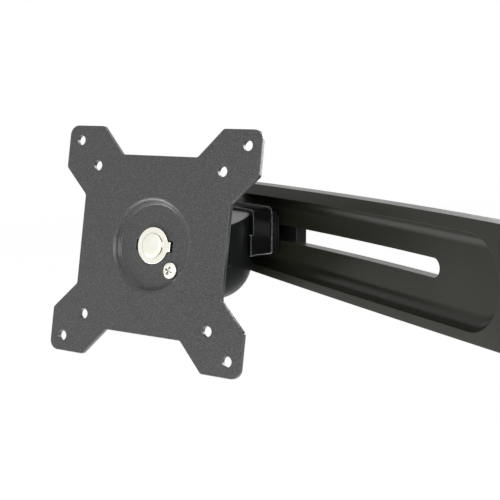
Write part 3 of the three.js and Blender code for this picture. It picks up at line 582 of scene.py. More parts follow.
def build_speckle():
    """Fine paint grain: light flecks, and the height of the rough surface."""
    inputs = {"Grains per metre": 1500.0, "Cover": 0.5, "Softness": 0.14}
    tree, start, end = new_group("speckle", inputs, ("Flecks", "Height"))
    grains = start.outputs["Grains per metre"]
    fine = noise(tree, grains, 1.0)
    coarse = noise(tree, maths(tree, "MULTIPLY", grains, 0.4), 2.0)
    threshold = remap(tree, start.outputs["Cover"], 0, 1, 0.72, 0.45)
    flecks = remap(tree, fine, threshold, maths(tree, "ADD", threshold, start.outputs["Softness"]))
    height = maths(tree, "MULTIPLY", maths(tree, "ADD", fine, coarse), 0.5)
    tree.links.new(flecks, end.inputs["Flecks"])
    tree.links.new(height, end.inputs["Height"])
    return tree


def build_edge_wear_and_highlight():
    """Mask of the outer edges, lightened as thin, worn paint and as a painted highlight where light
    would catch, broken up by noise.
    """
    tree, start, end = new_group("edge wear", {"Width": 0.5 * MM, "Breakup": 0.5}, ("Edge",))
    depth = add_node(
        tree, "AmbientOcclusion", {"Distance": start.outputs["Width"]},
        samples=8, inside=True, only_local=True,
    ).outputs["AO"]
    edge = remap(tree, depth, 0.9, 0.6)
    patches = remap(tree, noise(tree, 260.0, 3.0), 0.42, 0.6)
    kept = add_node(
        tree, "Mix", {"Factor": start.outputs["Breakup"], "A": 1.0, "B": patches}, data_type="FLOAT"
    ).outputs["Result"]
    tree.links.new(maths(tree, "MULTIPLY", edge, kept), end.inputs["Edge"])
    return tree


def build_handling():
    """Broad, soft patches left by hands and cloths, for roughness."""
    tree, start, end = new_group("handling", {"Patches per metre": 30.0}, ("Patches", "Wipe"))
    scale = start.outputs["Patches per metre"]
    tree.links.new(remap(tree, noise(tree, scale, 4.0, 0.6), 0.35, 0.7), end.inputs["Patches"])
    place = add_node(tree, "TexCoord").outputs["Object"]
    stretched = add_node(tree, "Mapping", {"Vector": place, "Scale": (1.0, 1.0, 14.0)})
    sockets = {
        "Vector": stretched.outputs["Vector"], "Scale": maths(tree, "MULTIPLY", scale, 5.0),
        "Detail": 3.0,
    }
    wipe = add_node(tree, "TexNoise", sockets).outputs["Fac"]
    tree.links.new(remap(tree, wipe, 0.5, 0.75), end.inputs["Wipe"])
    return tree


def build_grime_and_shade():
    """Mask of recesses and joints, darkened as dirt and as painted shade."""
    tree, start, end = new_group("grime", {"Reach": 1.0 * MM, "Amount": 1.0}, ("Grime",))
    openness = add_node(
        tree, "AmbientOcclusion", {"Distance": start.outputs["Reach"]}, samples=6
    ).outputs["AO"]
    shade = remap(tree, openness, 0.85, 0.35)
    uneven = remap(tree, noise(tree, 500.0, 3.0), 0.3, 0.6, 0.6, 1.0)
    patchy = maths(tree, "MULTIPLY", shade, uneven)
    amount = maths(tree, "MULTIPLY", patchy, start.outputs["Amount"])
    tree.links.new(amount, end.inputs["Grime"])
    return tree


EFFECTS = {
    "speckle": build_speckle,
    "edge wear": build_edge_wear_and_highlight,
    "handling": build_handling,
    "grime": build_grime_and_shade,
}


def effect(tree, name, sockets=()):
    """Places a shared effect in a material and returns its outputs."""
    group = bpy.data.node_groups.get(name)
    if group is None:
        group = EFFECTS[name]()
    made = tree.nodes.new("ShaderNodeGroup")
    made.node_tree = group
    for label, value in dict(sockets).items():
        made.inputs[label].default_value = value
    return made.outputs


# ------------------------------------------------------------------ finishes
def title(slot_name):
    return slot_name.replace("_", " ") + " finish"


def new_finish(name, metallic=0.0, specular=0.5):
    """A material with its shader, whose even values are set on the shader itself."""
    material = bpy.data.materials.new(title(name))
    material.use_nodes = True
    shader = material.node_tree.nodes["Principled BSDF"]
    shader.inputs["Metallic"].default_value = metallic
    shader.inputs["Specular IOR Level"].default_value = specular
    return material, material.node_tree, shader


def blend(tree, factor, first, second):
    """Colour between two colours or sockets."""
    made = add_node(tree, "Mix", data_type="RGBA")
    tree.links.new(factor, made.inputs["Factor"])
    ends = [socket for socket in made.inputs if socket.type == "RGBA"]
    for socket, value in zip(ends, (first, second)):
        if isinstance(value, bpy.types.NodeSocket):
            tree.links.new(value, socket)
        else:
            socket.default_value = (*value, 1)
    return next(socket for socket in made.outputs if socket.type == "RGBA")


def bump(tree, height, depth, strength=0.5):
    return add_node(
        tree, "Bump", {"Height": height, "Distance": depth, "Strength": strength}
    ).outputs["Normal"]


def lighter(value, factor):
    return tuple(min(1.0, part * factor) for part in value)


def uneven_gloss(tree, shader, patches, roughness):
    tree.links.new(remap(tree, patches, 0, 1, *roughness), shader.inputs["Roughness"])


def painted(name, specular, roughness, grain, fleck, edge, depth):
    """Paint or powder coat: base colour, flecks, edges lightened as wear and as a painted highlight,
    uneven gloss and fine grain.
    """
    base = getattr(sizes("finish"), name)
    material, tree, shader = new_finish(name, specular=specular)
    grains = effect(tree, "speckle", dict(zip(("Grains per metre", "Cover", "Softness"), grain)))
    edge_gain, edge_width = edge
    # the outer edges are lightened: worn paint, and a painted highlight
    worn_and_lit = effect(tree, "edge wear", {"Width": edge_width, "Breakup": 0.35})
    hands = effect(tree, "handling", {"Patches per metre": 35.0})
    flecked = blend(tree, grains["Flecks"], base, lighter(base, fleck))
    edged = blend(tree, worn_and_lit["Edge"], flecked, lighter(base, edge_gain))
    tree.links.new(edged, shader.inputs["Base Color"])
    uneven_gloss(tree, shader, hands["Patches"], roughness)
    tree.links.new(bump(tree, grains["Height"], depth), shader.inputs["Normal"])
    return material


def metal(name, roughness, stain, patches, wipe):
    """Bare or plated metal with cloudy plating, fine wipe marks, edges lightened as a painted
    highlight, and recesses darkened as dirt and painted shade.
    """
    base = getattr(sizes("finish"), name)
    material, tree, shader = new_finish(name, metallic=1.0)
    hands = effect(tree, "handling", {"Patches per metre": patches})
    # the edges are lightened a little: wear, and a painted highlight
    worn_and_lit = effect(tree, "edge wear", {"Width": 0.3 * MM, "Breakup": 0.2})
    # recesses and joints are darkened: dirt, and painted shade
    dirt_and_shade = effect(tree, "grime", {"Reach": 1.3 * MM, "Amount": 0.95})
    clouded = blend(tree, hands["Patches"], base, stain)
    edged = blend(tree, worn_and_lit["Edge"], clouded, lighter(base, 1.15))
    dirtied_and_shaded = blend(tree, dirt_and_shade["Grime"], edged, (0.06, 0.045, 0.035))
    tree.links.new(dirtied_and_shaded, shader.inputs["Base Color"])
    uneven_gloss(tree, shader, hands["Patches"], roughness)
    tree.links.new(bump(tree, hands["Wipe"], wipe), shader.inputs["Normal"])
    return material


# specular, roughness, grain (per metre, cover, softness), gain of the flecks, edges lightened as wear
# and as a painted highlight (gain, width), height of the grain
PAINTS = {
    "beam_paint": (0.24, (0.28, 0.36), (1500, 0.45, 0.2), 1.8, (1.6, 1.0 * MM), 0.03 * MM),
    "satin_paint": (0.07, (0.28, 0.4), (2200, 0.2, 0.14), 1.6, (3.0, 0.6 * MM), 0.01 * MM),
    # the bracket's edges are lightened almost to white: a painted highlight
    "gloss_paint": (0.15, (0.12, 0.2), (2400, 0.1, 0.14), 1.3, (110.0, 0.5 * MM), 0.004 * MM),
    "plate_powder": (0.4, (0.3, 0.38), (2400, 1.0, 0.3), 3.2, (3.0, 0.6 * MM), 0.06 * MM),
    "cap_plastic": (0.4, (0.42, 0.5), (2200, 0.3, 0.14), 1.15, (1.2, 0.5 * MM), 0.01 * MM),
    "slide_plastic": (0.2, (0.4, 0.5), (1200, 0.3, 0.14), 1.2, (1.3, 0.3 * MM), 0.01 * MM),
    "knob_plastic": (0.3, (0.45, 0.6), (1500, 0.4, 0.14), 1.6, (2.0, 0.6 * MM), 0.04 * MM),
    "friction_fibre": (0.2, (0.75, 0.9), (1400, 0.5, 0.14), 1.9, (1.2, 0.3 * MM), 0.05 * MM),
}

# roughness, colour of the stains, patches per metre, height of the wipe marks
METALS = {
    "zinc_plate": ((0.28, 0.4), (0.42, 0.43, 0.42), 120, 0.006 * MM),
    "nickel": ((0.18, 0.3), (0.84, 0.81, 0.7), 150, 0.004 * MM),
    "brass": ((0.25, 0.36), (0.5, 0.34, 0.14), 120, 0.006 * MM),
}


def finish(slot_name):
    """The slot's material, which is made on first use."""
    made = bpy.data.materials.get(title(slot_name))
    if made:
        return made
    if slot_name in METALS:
        return metal(slot_name, *METALS[slot_name])
    return painted(slot_name, *PAINTS[slot_name])


# ------------------------------------------------------------------ beam and foot
def lower_edge(beam, x):
    return -beam.height / 2 + (x + beam.belly_at) ** 2 / (2 * beam.belly_radius)


def belly(beam, start, end, lift, count=24):
    """Corners along the lower edge, raised by lift."""
    places = [start + (end - start) * i / count for i in range(count + 1)]
    return [(x, lower_edge(beam, x) + lift, 0) for x in places]


def beam_corners(beam):
    top = beam.height / 2
    tip, tail = -beam.tip, beam.tail
    return [
        (tip, top, beam.tip_round), (tip, lower_edge(beam, tip), beam.tip_round),
        *belly(beam, tip + 2 * beam.tip_round, tail - 2 * beam.tail_round, 0),
        (tail, lower_edge(beam, tail), beam.tail_round), (tail, top, beam.tail_round),
    ]


def trough_solid(beam):
    """Solid of the trough: straight above, parallel to the belly below, round at its ends."""
    near, far = -beam.trough_near, -beam.trough_far
    top, border = beam.trough_top, beam.trough_border
    fullness = 0.995  # the two roundings of an end stop just short of meeting
    clear = 1.2  # times the rounding, from an end to the first corner of the belly

    def half_height(x):
        return (top - lower_edge(beam, x) - border) / 2

    near_round = half_height(near - half_height(near)) * fullness
    far_round = half_height(far + half_height(far)) * fullness
    corners = [
        (far, top, far_round), (far, lower_edge(beam, far + far_round) + border, far_round),
        *belly(beam, far + clear * far_round, near - clear * near_round, border),
        (near, lower_edge(beam, near - near_round) + border, near_round), (near, top, near_round),
    ]
    end_steps, fillet_steps = 24, 10
    solid = panel(corners, -beam.trough_depth, beam.trough_depth, end_steps)
    floor = edges_at(solid, lambda point: point.y > 0)
    return round_edges(solid, floor, beam.trough_fillet, fillet_steps)


def slot_solid(beam):
    near, far, radius = -beam.slot_near, -beam.slot_far, beam.slot_width / 2
    end = 0.998 * radius  # the two roundings of an end stop just short of meeting
    corners = [(far, -radius, end), (near, -radius, end), (near, radius, end), (far, radius, end)]
    return panel(corners, -MM, beam.thick + MM, segments=16)


def bend(mesh, radius, step=6 * MM):
    """Bends a straight piece to the bow, after cutting it into short lengths."""
    low = min(point.co.x for point in mesh.verts)
    high = max(point.co.x for point in mesh.verts)
    x = low + step
    while x < high:
        bmesh.ops.bisect_plane(
            mesh, geom=mesh.verts[:] + mesh.edges[:] + mesh.faces[:], dist=SAME_POINT,
            plane_co=(x, 0, 0), plane_no=(1, 0, 0),
        )
        x += step
    for point in mesh.verts:
        turned_by = point.co.x / radius
        reach = radius + point.co.y
        point.co.x = reach * math.sin(turned_by)
        point.co.y = reach * math.cos(turned_by) - radius
    return mesh


def screw_places(x, z):
    return [(side * x, row * z) for side in (-1, 1) for row in (-1, 1)]


class ARM_OT_beam(bpy.types.Operator):
    """Bowed beam with its trough and slot"""

    bl_idname = "monitor_arm.beam"
    bl_label = "Beam"

    def execute(self, context):
        beam, foot = sizes("beam"), sizes("foot")
        body = panel(beam_corners(beam), 0, beam.thick, CORNER_STEPS)
        back = edges_at(body, lambda point: point.y > beam.thick / 2)
        round_edges(body, back, beam.back_round, CORNER_STEPS)
        counterbore = foot.screw_sink + foot.screw_head_height + GAP
        holes = [
            rod(radius, -MM, depth, x, z, HOLE_STEPS)
            for x, z in screw_places(foot.screw_x, foot.screw_z)
            for radius, depth in (
                (foot.screw_radius + GAP, beam.thick + MM), (foot.screw_head + GAP, counterbore),
            )
        ]
        body = cut(body, trough_solid(beam), slot_solid(beam), *holes)
        front = edges_at(body, lambda point: abs(point.y) < NEAR)
        round_edges(body, front, beam.front_round, segments=3)
        bend(body, beam.bow_radius)
        add_piece("beam_casting", body, beam_place(), "arm", "beam_paint", ["arm_beam"])
        return {"FINISHED"}


def domed(radius, top, height, start):
    """Profile of a domed screw head, whose arc begins past an angle of start degrees."""
    steps = 8
    swings = [math.radians(start + (90 - start) * i / steps) for i in range(1, steps + 1)]
    return [(0, top)] + [
        (radius * math.sin(swing), top + height * (1 - math.cos(swing))) for swing in swings
    ]


def shank(head, seat, radius, end):
    """Profile of a screw from the rim under its head to the end of its shank."""
    return [(head, seat), (radius, seat), (radius, end), (0, end)]


def screw_solid(foot, end):
    """Domed socket screw along +Y, with its head sunk below the face."""
    sink, height, head = foot.screw_sink, foot.screw_head_height, foot.screw_head
    socket, socket_depth = 0.4 * head, 0.6 * height
    body = along_y(turned([
        *domed(head, sink, 0.9 * height, start=18),
        *shank(head, sink + height, foot.screw_radius, end),
    ], SCREW_STEPS))
    return cut(body, along_y(hex_bar(socket, sink - MM, sink + socket_depth)))


class ARM_OT_foot(bpy.types.Operator):
    """Foot plate with its pedestal and the four screws that hold the beam"""

    bl_idname = "monitor_arm.foot"
    bl_label = "Foot"

    def execute(self, context):
        beam, foot = sizes("beam"), sizes("foot")
        half, corner = foot.high / 2, foot.corner
        outer = box_corners(foot.long / 2, -half, half, corner, corner)
        plate = panel(outer, -foot.thick, 0, CORNER_STEPS)
        behind = beam.thick + GAP
        seat = block(
            (-foot.pedestal_long / 2, foot.pedestal_long / 2),
            (behind, behind + foot.pedestal + foot.thick / 2),
            (-foot.pedestal_bottom, foot.pedestal_top),
        )
        bend(seat, beam.bow_radius, step=12 * MM).transform(beam_place())
        holes = [
            rod(foot.hole_radius, -foot.thick - MM, MM, x, z, HOLE_STEPS)
            for x, z in screw_places(foot.hole_x, foot.hole_z)
        ]
        bracket = cut(join(plate, seat), *holes)
        add_piece(
            "foot_plate", bracket, Matrix.Identity(4), "arm", "satin_paint",
            ["foot_bracket"], 0.8 * MM, 3,
        )
        cover = 2.5 * MM  # how far the screws end short of the mounting face
        end = beam.thick + foot.pedestal + foot.thick - cover
        for i, (x, z) in enumerate(screw_places(foot.screw_x, foot.screw_z), 1):
            add_piece(
                f"beam_screw_{i}", screw_solid(foot, end), foot_screw_place(x, z), "arm",
                "zinc_plate", [f"foot_screw_{i}"], 0.15 * MM,
            )
        return {"FINISHED"}


# ------------------------------------------------------------------ carriage
def slab(long, high, y0, y1):
    """Flat piece that is bowed like the beam."""
    mesh = block((-long / 2, long / 2), (y0, y1), (-high / 2, high / 2))
    return bend(mesh, sizes("beam").bow_radius, step=4 * MM)


def carriage_depths():
    """Depths of the stacked carriage pieces behind the beam's front face."""
    beam, carriage = sizes("beam"), sizes("carriage")
    depths = {"slider_back": beam.trough_depth - 2 * GAP - carriage.liner_thick}
    depths["front_liner"] = depths["slider_back"] + GAP
    depths["rear_liner"] = beam.thick + GAP
    depths["clamp"] = depths["rear_liner"] + carriage.liner_thick + GAP
    depths["washer"] = depths["clamp"] + carriage.clamp_thick + GAP
    depths["knob"] = depths["washer"] + carriage.washer_thick + GAP
    depths["stud_end"] = depths["knob"] + carriage.knob_depth - carriage.knob_roof - GAP
    return depths


def saddle_screw(saddle, x, z, room):
    """Countersunk screw from behind the slider, or its hole when room is given."""
    rear = carriage_depths()["slider_back"] - (0 if room else GAP)
    radius = saddle.screw_radius + room
    rim = saddle.screw_head + room
    cone = saddle.screw_head - saddle.screw_radius
    end = -saddle.screw_bite - room
    points = [(0, end), (radius, end), (radius, rear - cone), (rim, rear)]
    if room:
        rear += MM
        points.append((rim, rear))
    return shift(along_y(turned([*points, (0, rear)], HOLE_STEPS)), x, 0, z)


class ARM_OT_carriage(bpy.types.Operator):
    """Slider, liners, clamp plate, stud and screws of the carriage"""

    bl_idname = "monitor_arm.carriage"
    bl_label = "Carriage"

    def execute(self, context):
        carriage, saddle = sizes("carriage"), sizes("saddle")
        depth = carriage_depths()
        place = carriage_place()
        bore = carriage.stud_radius + GAP
        places = screw_places(saddle.screw_x, saddle.screw_z)
        front, back = carriage.slider_front, depth["slider_back"]
        slider = cut(
            slab(carriage.slider_long, carriage.slider_high, front, back),
            rod(bore, 0, 2 * back),
            rod(carriage.stud_head + GAP, 0, front + carriage.stud_head_height + GAP),
            *[saddle_screw(saddle, x, z, GAP) for x, z in places],
        )
        add_piece("slider", slider, place, "carriage", "satin_paint", ["slider_block"], 0.35 * MM)
        liner_inset = 2 * MM
        flat_parts = (
            ("front_liner", carriage.slider_long, carriage.liner_high, depth["front_liner"],
             carriage.liner_thick, "slide_plastic", "front_slide_liner"),
            ("rear_liner", carriage.clamp_long, carriage.clamp_high - liner_inset,
             depth["rear_liner"], carriage.liner_thick, "slide_plastic", "rear_slide_liner"),
            ("clamp_plate", carriage.clamp_long, carriage.clamp_high, depth["clamp"],
             carriage.clamp_thick, "satin_paint", "rear_clamp_plate"),
        )
        for name, long, high, start, thick, slot_name, node in flat_parts:
            part = cut(slab(long, high, start, start + thick), rod(bore, 0, depth["knob"]))
            add_piece(name, part, place, "carriage", slot_name, [node], 0.25 * MM)
        end, radius, head = depth["stud_end"], carriage.stud_radius, carriage.stud_head
        seat = front + carriage.stud_head_height
        chamfer = 0.8 * MM
        stud = along_y(turned([
            (0, front), (head, front), (head, seat), (radius, seat), (radius, end - chamfer),
            (radius - chamfer, end), (0, end),
        ], SCREW_STEPS))
        add_piece("stud", stud, place, "carriage", "zinc_plate", ["carriage_stud"])
        low = depth["washer"]
        washer = along_y(ring(bore, carriage.washer_radius, low, low + carriage.washer_thick))
        add_piece(
            "knob_washer_ring", washer, place, "carriage", "zinc_plate", ["knob_washer"], 0.2 * MM
        )
        for i, (x, z) in enumerate(places, 1):
            add_piece(
                f"saddle_fixing_{i}", saddle_screw(saddle, x, z, 0), place, "carriage",
                "zinc_plate", [f"saddle_screw_{i}"],
            )
        return {"FINISHED"}


class ARM_OT_saddle(bpy.types.Operator):
    """Saddle bracket that carries the swivel, and the two bushes in its eye"""

    bl_idname = "monitor_arm.saddle"
    bl_label = "Saddle"

    def execute(self, context):
        saddle, head = sizes("saddle"), sizes("head")
        place = carriage_place()
        swivel = (pivot("head_swivel") - place.translation).length
        top, bottom, back = saddle.top, saddle.bottom, saddle.back
        low, high = saddle.tongue_bottom, saddle.tongue_bottom + saddle.tongue_thick
        lower_corner = MM

        def on_axis(radius, z0, z1, steps=DISC_STEPS):
            return shift(drum(radius, z0, z1, steps), 0, -swivel)

        cheeks = panel(
            box_corners(saddle.half, bottom, top, lower_corner, saddle.corner),
            -saddle.reach_lower, back, CORNER_STEPS,
        )
        rim = panel(
            box_corners(
                saddle.half + saddle.rim, saddle.rim_bottom, top + saddle.rim, lower_corner,
                saddle.corner + saddle.rim,
            ),
            back - saddle.rim, back, CORNER_STEPS,
        )
        body = cut(
            join(cheeks, rim),
            block((-FAR, FAR), (-FAR, -saddle.reach_upper), (0, FAR)),
            on_axis(head.radius + GAP, bottom - MM, top - saddle.flange, BODY_STEPS),
        )
        tongue = block((-saddle.tongue_half, saddle.tongue_half), (-swivel, back / 2), (low, high))
        bolt_hole = head.bolt + GAP
        bush_wall = 1.1 * MM
        bush_radius = bolt_hole + bush_wall
        holes = [
            saddle_screw(saddle, x, z, GAP) for x, z in screw_places(saddle.screw_x, saddle.screw_z)
        ]
        body = cut(
            join(body, tongue, on_axis(saddle.eye_radius, low, high)),
            on_axis(bush_radius + GAP, low - MM, high + MM), *holes,
        )
        add_piece("saddle", body, place, "carriage", "gloss_paint", ["saddle_bracket"], 0.35 * MM, 3)
        collar = saddle.eye_radius - 0.5 * MM
        for name, way, face in (("upper", 1, high + GAP), ("lower", -1, low - GAP)):
            inner, outer = (low + high) / 2 + way * GAP, face + way * MM
            bush = turned([
                (bolt_hole, inner), (bush_radius, inner), (bush_radius, face), (collar, face),
                (collar, outer), (bolt_hole, outer), (bolt_hole, inner),
            ], SCREW_STEPS)
            add_piece(
                f"{name}_bush", shift(bush, 0, -swivel), place, "carriage",
                "slide_plastic", [f"{name}_swivel_bush"],
            )
        return {"FINISHED"}


class ARM_OT_knob(bpy.types.Operator):
    """Lobed clamp knob with its brass insert"""

    bl_idname = "monitor_arm.knob"
    bl_label = "Clamp knob"

    def execute(self, context):
        carriage = sizes("carriage")
        depth = carriage_depths()
        steps = 24 * carriage.knob_lobes
        mesh = bmesh.new()
        bmesh.ops.create_circle(mesh, cap_ends=True, radius=carriage.knob_radius, segments=steps)
        turn(mesh, math.pi / 2, "X")
        for point in mesh.verts:
            swing = math.atan2(point.co.z, point.co.x)
            hollow = carriage.knob_lobe * (1 - math.cos(carriage.knob_lobes * swing))
            point.co *= 1 - hollow / carriage.knob_radius
        shift(mesh, 0, depth["knob"])
        thicken(mesh, (0, carriage.knob_depth, 0))
        for end in (depth["knob"], depth["knob"] + carriage.knob_depth):
            rim = edges_at(mesh, lambda point: abs(point.y - end) < NEAR)
            round_edges(mesh, rim, 1.8 * MM, segments=6)
        knob = cut(mesh, rod(carriage.insert_radius + GAP, 0, depth["stud_end"] + GAP))
        place = carriage_place()
        add_piece("knob", knob, place, "knob", "knob_plastic", ["clamp_knob"])
        bore = carriage.stud_radius + GAP
        insert = along_y(ring(bore, carriage.insert_radius, depth["knob"], depth["stud_end"]))
        add_piece("knob_bush", insert, place, "knob", "brass", ["knob_insert"], 0.2 * MM)
        return {"FINISHED"}


# ------------------------------------------------------------------ swivel head
def above(height):
    return block((-FAR, FAR), (-FAR, FAR), (height, FAR))


def sloped(head, mesh):
    """Tilts a piece made on z = 0 so that it lies on the slanted top."""
    return shift(turn(mesh, head.cap_slope, "X"), 0, 0, head.cap_plane)


def pocket_solids(head, saddle):
    """Room that the saddle's tongue and bushes sweep as the head swivels."""
    bush_collar = MM
    top = saddle.tongue_bottom + saddle.tongue_thick + 2 * GAP + bush_collar
    bottom = saddle.tongue_bottom - 2 * GAP - bush_collar
    wide = saddle.tongue_half + saddle.tongue_room
    reach = head.radius + 4 * MM  # past the housing's wall
    arms = 11
    solids = [drum(saddle.eye_radius + saddle.tongue_room, bottom, top)]
    for i in range(arms):
        swing = head.swivel_limit * (2 * i / (arms - 1) - 1)
        solids.append(turn(block((-wide, wide), (0, reach), (bottom, top)), swing, "Z"))
    return solids


def ear_solid(head, side):
    """One ear of the tilt fork, joined to the housing by a straight arm."""
    height = pivot("head_tilt").z
    ahead = tilt_ahead()
    inner, outer = sorted((side * head.ear_inner, side * (head.ear_inner + head.ear_thick)))
    eye = axle(head.ear_radius, inner, outer, ahead, height, DISC_STEPS)
    arm = block(
        (inner, outer), (ahead, -head.radius / 2),
        (height - head.ear_radius, height + head.ear_shoulder),
    )
    return eye, arm


class ARM_OT_housing(bpy.types.Operator):
    """Domed swivel housing with its tilt fork, and the grey cap on its top"""

    bl_idname = "monitor_arm.housing"
    bl_label = "Swivel housing"

    def execute(self, context):
        head, saddle = sizes("head"), sizes("saddle")
        level = saddle.top - saddle.flange - GAP
        head_room = 0.6 * MM  # beside the bolt's head and the nut
        recess = head.hex + head_room + 2 * GAP + head.cap_skirt
        radius, steps, uncut_top = head.radius, 24, 30 * MM
        dome = [
            (radius * math.sin(swing), head.dome - radius * math.cos(swing))
            for swing in (math.pi / 2 * i / steps for i in range(steps + 1))
        ]
        bolt_hole = head.bolt + GAP
        bullet = cut(
            turned([*dome, (radius, uncut_top), (0, uncut_top)], BODY_STEPS),
            sloped(head, above(0)), above(level), drum(recess, head.nut_seat, FAR),
        )
        housing = cut(
            join(bullet, *ear_solid(head, -1), *ear_solid(head, 1)),
            *pocket_solids(head, saddle),
            drum(bolt_hole, -FAR, FAR, SCREW_STEPS),
            drum(head.swivel_head + head_room, -FAR, head.swivel_head_top + GAP, SCREW_STEPS),
            axle(bolt_hole, -FAR, FAR, tilt_ahead(), pivot("head_tilt").z),
        )
        place = head_place()
        add_piece(
            "swivel_shell", housing, place, "head", "satin_paint", ["swivel_housing"],
            0.5 * MM, 3, FINE_CREASE,
        )
        rim, top = radius - GAP, GAP + head.cap_height
        edge = GAP + 0.5 * MM
        profile = [(0, GAP), (rim, GAP), (rim, edge), (head.cap_face, top), (0, top)]
        disc = turned(profile, BODY_STEPS)
        bmesh.ops.scale(disc, verts=disc.verts, vec=(1, 1 / math.cos(head.cap_slope), 1))
        sloped(head, disc)
        skirt = recess - GAP
        cap = cut(
            join(disc, drum(skirt, head.nut_seat + GAP, head.cap_plane + MM)),
            drum(skirt - head.cap_skirt, 0, head.nut_seat + GAP + head.nut + MM),
            above(level),
        )
        add_piece("cap", cap, place, "head", "cap_plastic", ["housing_cap"], crease=FINE_CREASE)
        return {"FINISHED"}


def hex_solid(head, z0, z1, chamfer_both):
    """Hexagonal blank along Z, with its corners chamfered at z0 or at both ends."""
    flat = head.hex * math.cos(math.pi / 6)
    rise = (head.hex - flat) * math.tan(math.radians(30))
    upper = [(head.hex, z1 - rise), (flat, z1)] if chamfer_both else [(head.hex, z1)]
    blank = turned([(0, z0), (flat, z0), (head.hex, z0 + rise), *upper, (0, z1)])
    return combined("INTERSECT", hex_bar(head.hex, z0 - MM, z1 + MM), [blank])


def hex_nut(head, z0, z1):
    middle = (z0 + z1) / 2
    bore = drum(head.bolt + GAP, middle - head.hex, middle + head.hex, SCREW_STEPS)
    return cut(hex_solid(head, z0, z1, chamfer_both=True), bore)


class ARM_OT_swivel_bolt(bpy.types.Operator):
    """Swivel bolt from below and its nut under the cap"""

    bl_idname = "monitor_arm.swivel_bolt"
    bl_label = "Swivel bolt"

    def execute(self, context):
        head = sizes("head")
        low, radius = head.swivel_head_top - head.swivel_head_height, head.swivel_head
        nut_at = head.nut_seat + GAP
        end = nut_at + head.nut + 0.5 * MM  # just past the nut
        chamfer = 0.6 * MM
        socket, socket_depth = 3.4 * MM, 2.6 * MM
        bolt = turned([
            (0, low), (radius - chamfer, low), (radius, low + chamfer),
            *shank(radius, head.swivel_head_top, head.bolt, end),
        ], SCREW_STEPS)
        bolt = cut(bolt, hex_bar(socket, low - MM, low + socket_depth))
        place = head_place()
        add_piece("swivel_screw", bolt, place, "head", "zinc_plate", ["swivel_bolt"], 0.15 * MM)
        nut = hex_nut(head, nut_at, nut_at + head.nut)
        add_piece("swivel_lock_nut", nut, place, "head", "zinc_plate", ["swivel_nut"])
        return {"FINISHED"}


class ARM_OT_tilt_bolt(bpy.types.Operator):
    """Tilt bolt, nut, washers and friction discs"""

    bl_idname = "monitor_arm.tilt_bolt"
    bl_label = "Tilt bolt"

    def execute(self, context):
        head = sizes("head")
        place = head_place("head_tilt")
        washer_at = head.ear_inner + head.ear_thick + GAP
        head_at = washer_at + head.washer + GAP
        tip = head_at + head.tilt_nut + MM
        root, radius, chamfer = -head_at - MM, head.bolt, 0.6 * MM
        bolt = join(
            hex_solid(head, -head_at - head.tilt_head, -head_at, chamfer_both=False),
            turned([
                (0, root), (radius, root), (radius, tip - chamfer), (radius - chamfer, tip), (0, tip),
            ], SCREW_STEPS),
        )
        add_piece("tilt_screw", along_x(bolt), place, "head", "zinc_plate", ["tilt_bolt"])
        nut = hex_nut(head, head_at, head_at + head.tilt_nut)
        add_piece("tilt_lock_nut", along_x(nut), place, "head", "zinc_plate", ["tilt_nut"])
        disc_at = head.ear_inner - GAP - head.disc
        flat_rings = (
            ("washer", head.washer_radius, washer_at, head.washer, "zinc_plate", "tilt_washer",
             0.2 * MM),
            ("disc", head.disc_radius, disc_at, head.disc, "slide_plastic", "friction_disc",
             0.15 * MM),
        )
        for side_name, side in (("left", -1), ("right", 1)):
            for name, outer, start, thick, slot_name, node, softness in flat_rings:
                flat_ring = ring(head.bolt + GAP, outer, start, start + thick)
                add_piece(
                    f"{side_name}_{name}", turn(flat_ring, side * math.pi / 2, "Y"), place,
                    "head", slot_name, [f"{side_name}_{node}"], softness,
                )
        return {"FINISHED"}


# ------------------------------------------------------------------ hub and screen plate
FIBRE_THICK = 1.0 * MM  # thickness of the friction washer
SPRING_RADIUS = 9.4 * MM
SPRING_SINK = 1.5 * MM  # depth of the spring's seat in the hub
PIVOT_LONG = 15.9 * MM  # length of the pivot screw's shank
STOP_BITE = 2.3 * MM  # depth of the stop screw in the hub
STOP_SHANK = 1.95 * MM  # radius of the stop screw's shank
END_ROOM = 0.5 * MM  # free depth past the end of the pivot screw


def hub_depths():
    """Depths behind the plate's front face of what lies between plate and hub."""
    plate = sizes("plate")
    friction = plate.dish_depth + plate.thick + GAP
    hub = friction + FIBRE_THICK + GAP
    washer = plate.dish_depth - GAP - plate.washer_thick
    return {
        "friction": friction,
        "hub": hub,
        "washer": washer,
        "pivot": washer - GAP - plate.pivot_head_height,
        "pivot_end": washer - GAP + PIVOT_LONG,
        "stop_end": hub + STOP_BITE,
    }


def groove_solid(plate, depth):
    """Ring segment that the stop screw runs in over the plate's turning range."""
    circle = math.hypot(plate.stop_x, plate.stop_z)
    home = math.atan2(plate.stop_z, plate.stop_x)
    half_width = 2.4 * MM
    reach = math.pi / 2 + half_width / circle
    inner, outer = circle - half_width, circle + half_width
    y0, y1 = depth["hub"] - MM, depth["stop_end"] + GAP
    mesh = bmesh.new()
    corners = ((inner, y0), (outer, y0), (outer, y1), (inner, y1))
    section = mesh.faces.new([mesh.verts.new((radius, y, 0)) for radius, y in corners])
    turn(mesh, -(home - reach), "Y")
    bmesh.ops.spin(
        mesh, geom=[section, *section.edges, *section.verts], axis=(0, 1, 0), cent=(0, 0, 0),
        angle=-2 * reach, steps=HOLE_STEPS, use_merge=False,
    )
    bmesh.ops.recalc_face_normals(mesh, faces=mesh.faces)
    return mesh


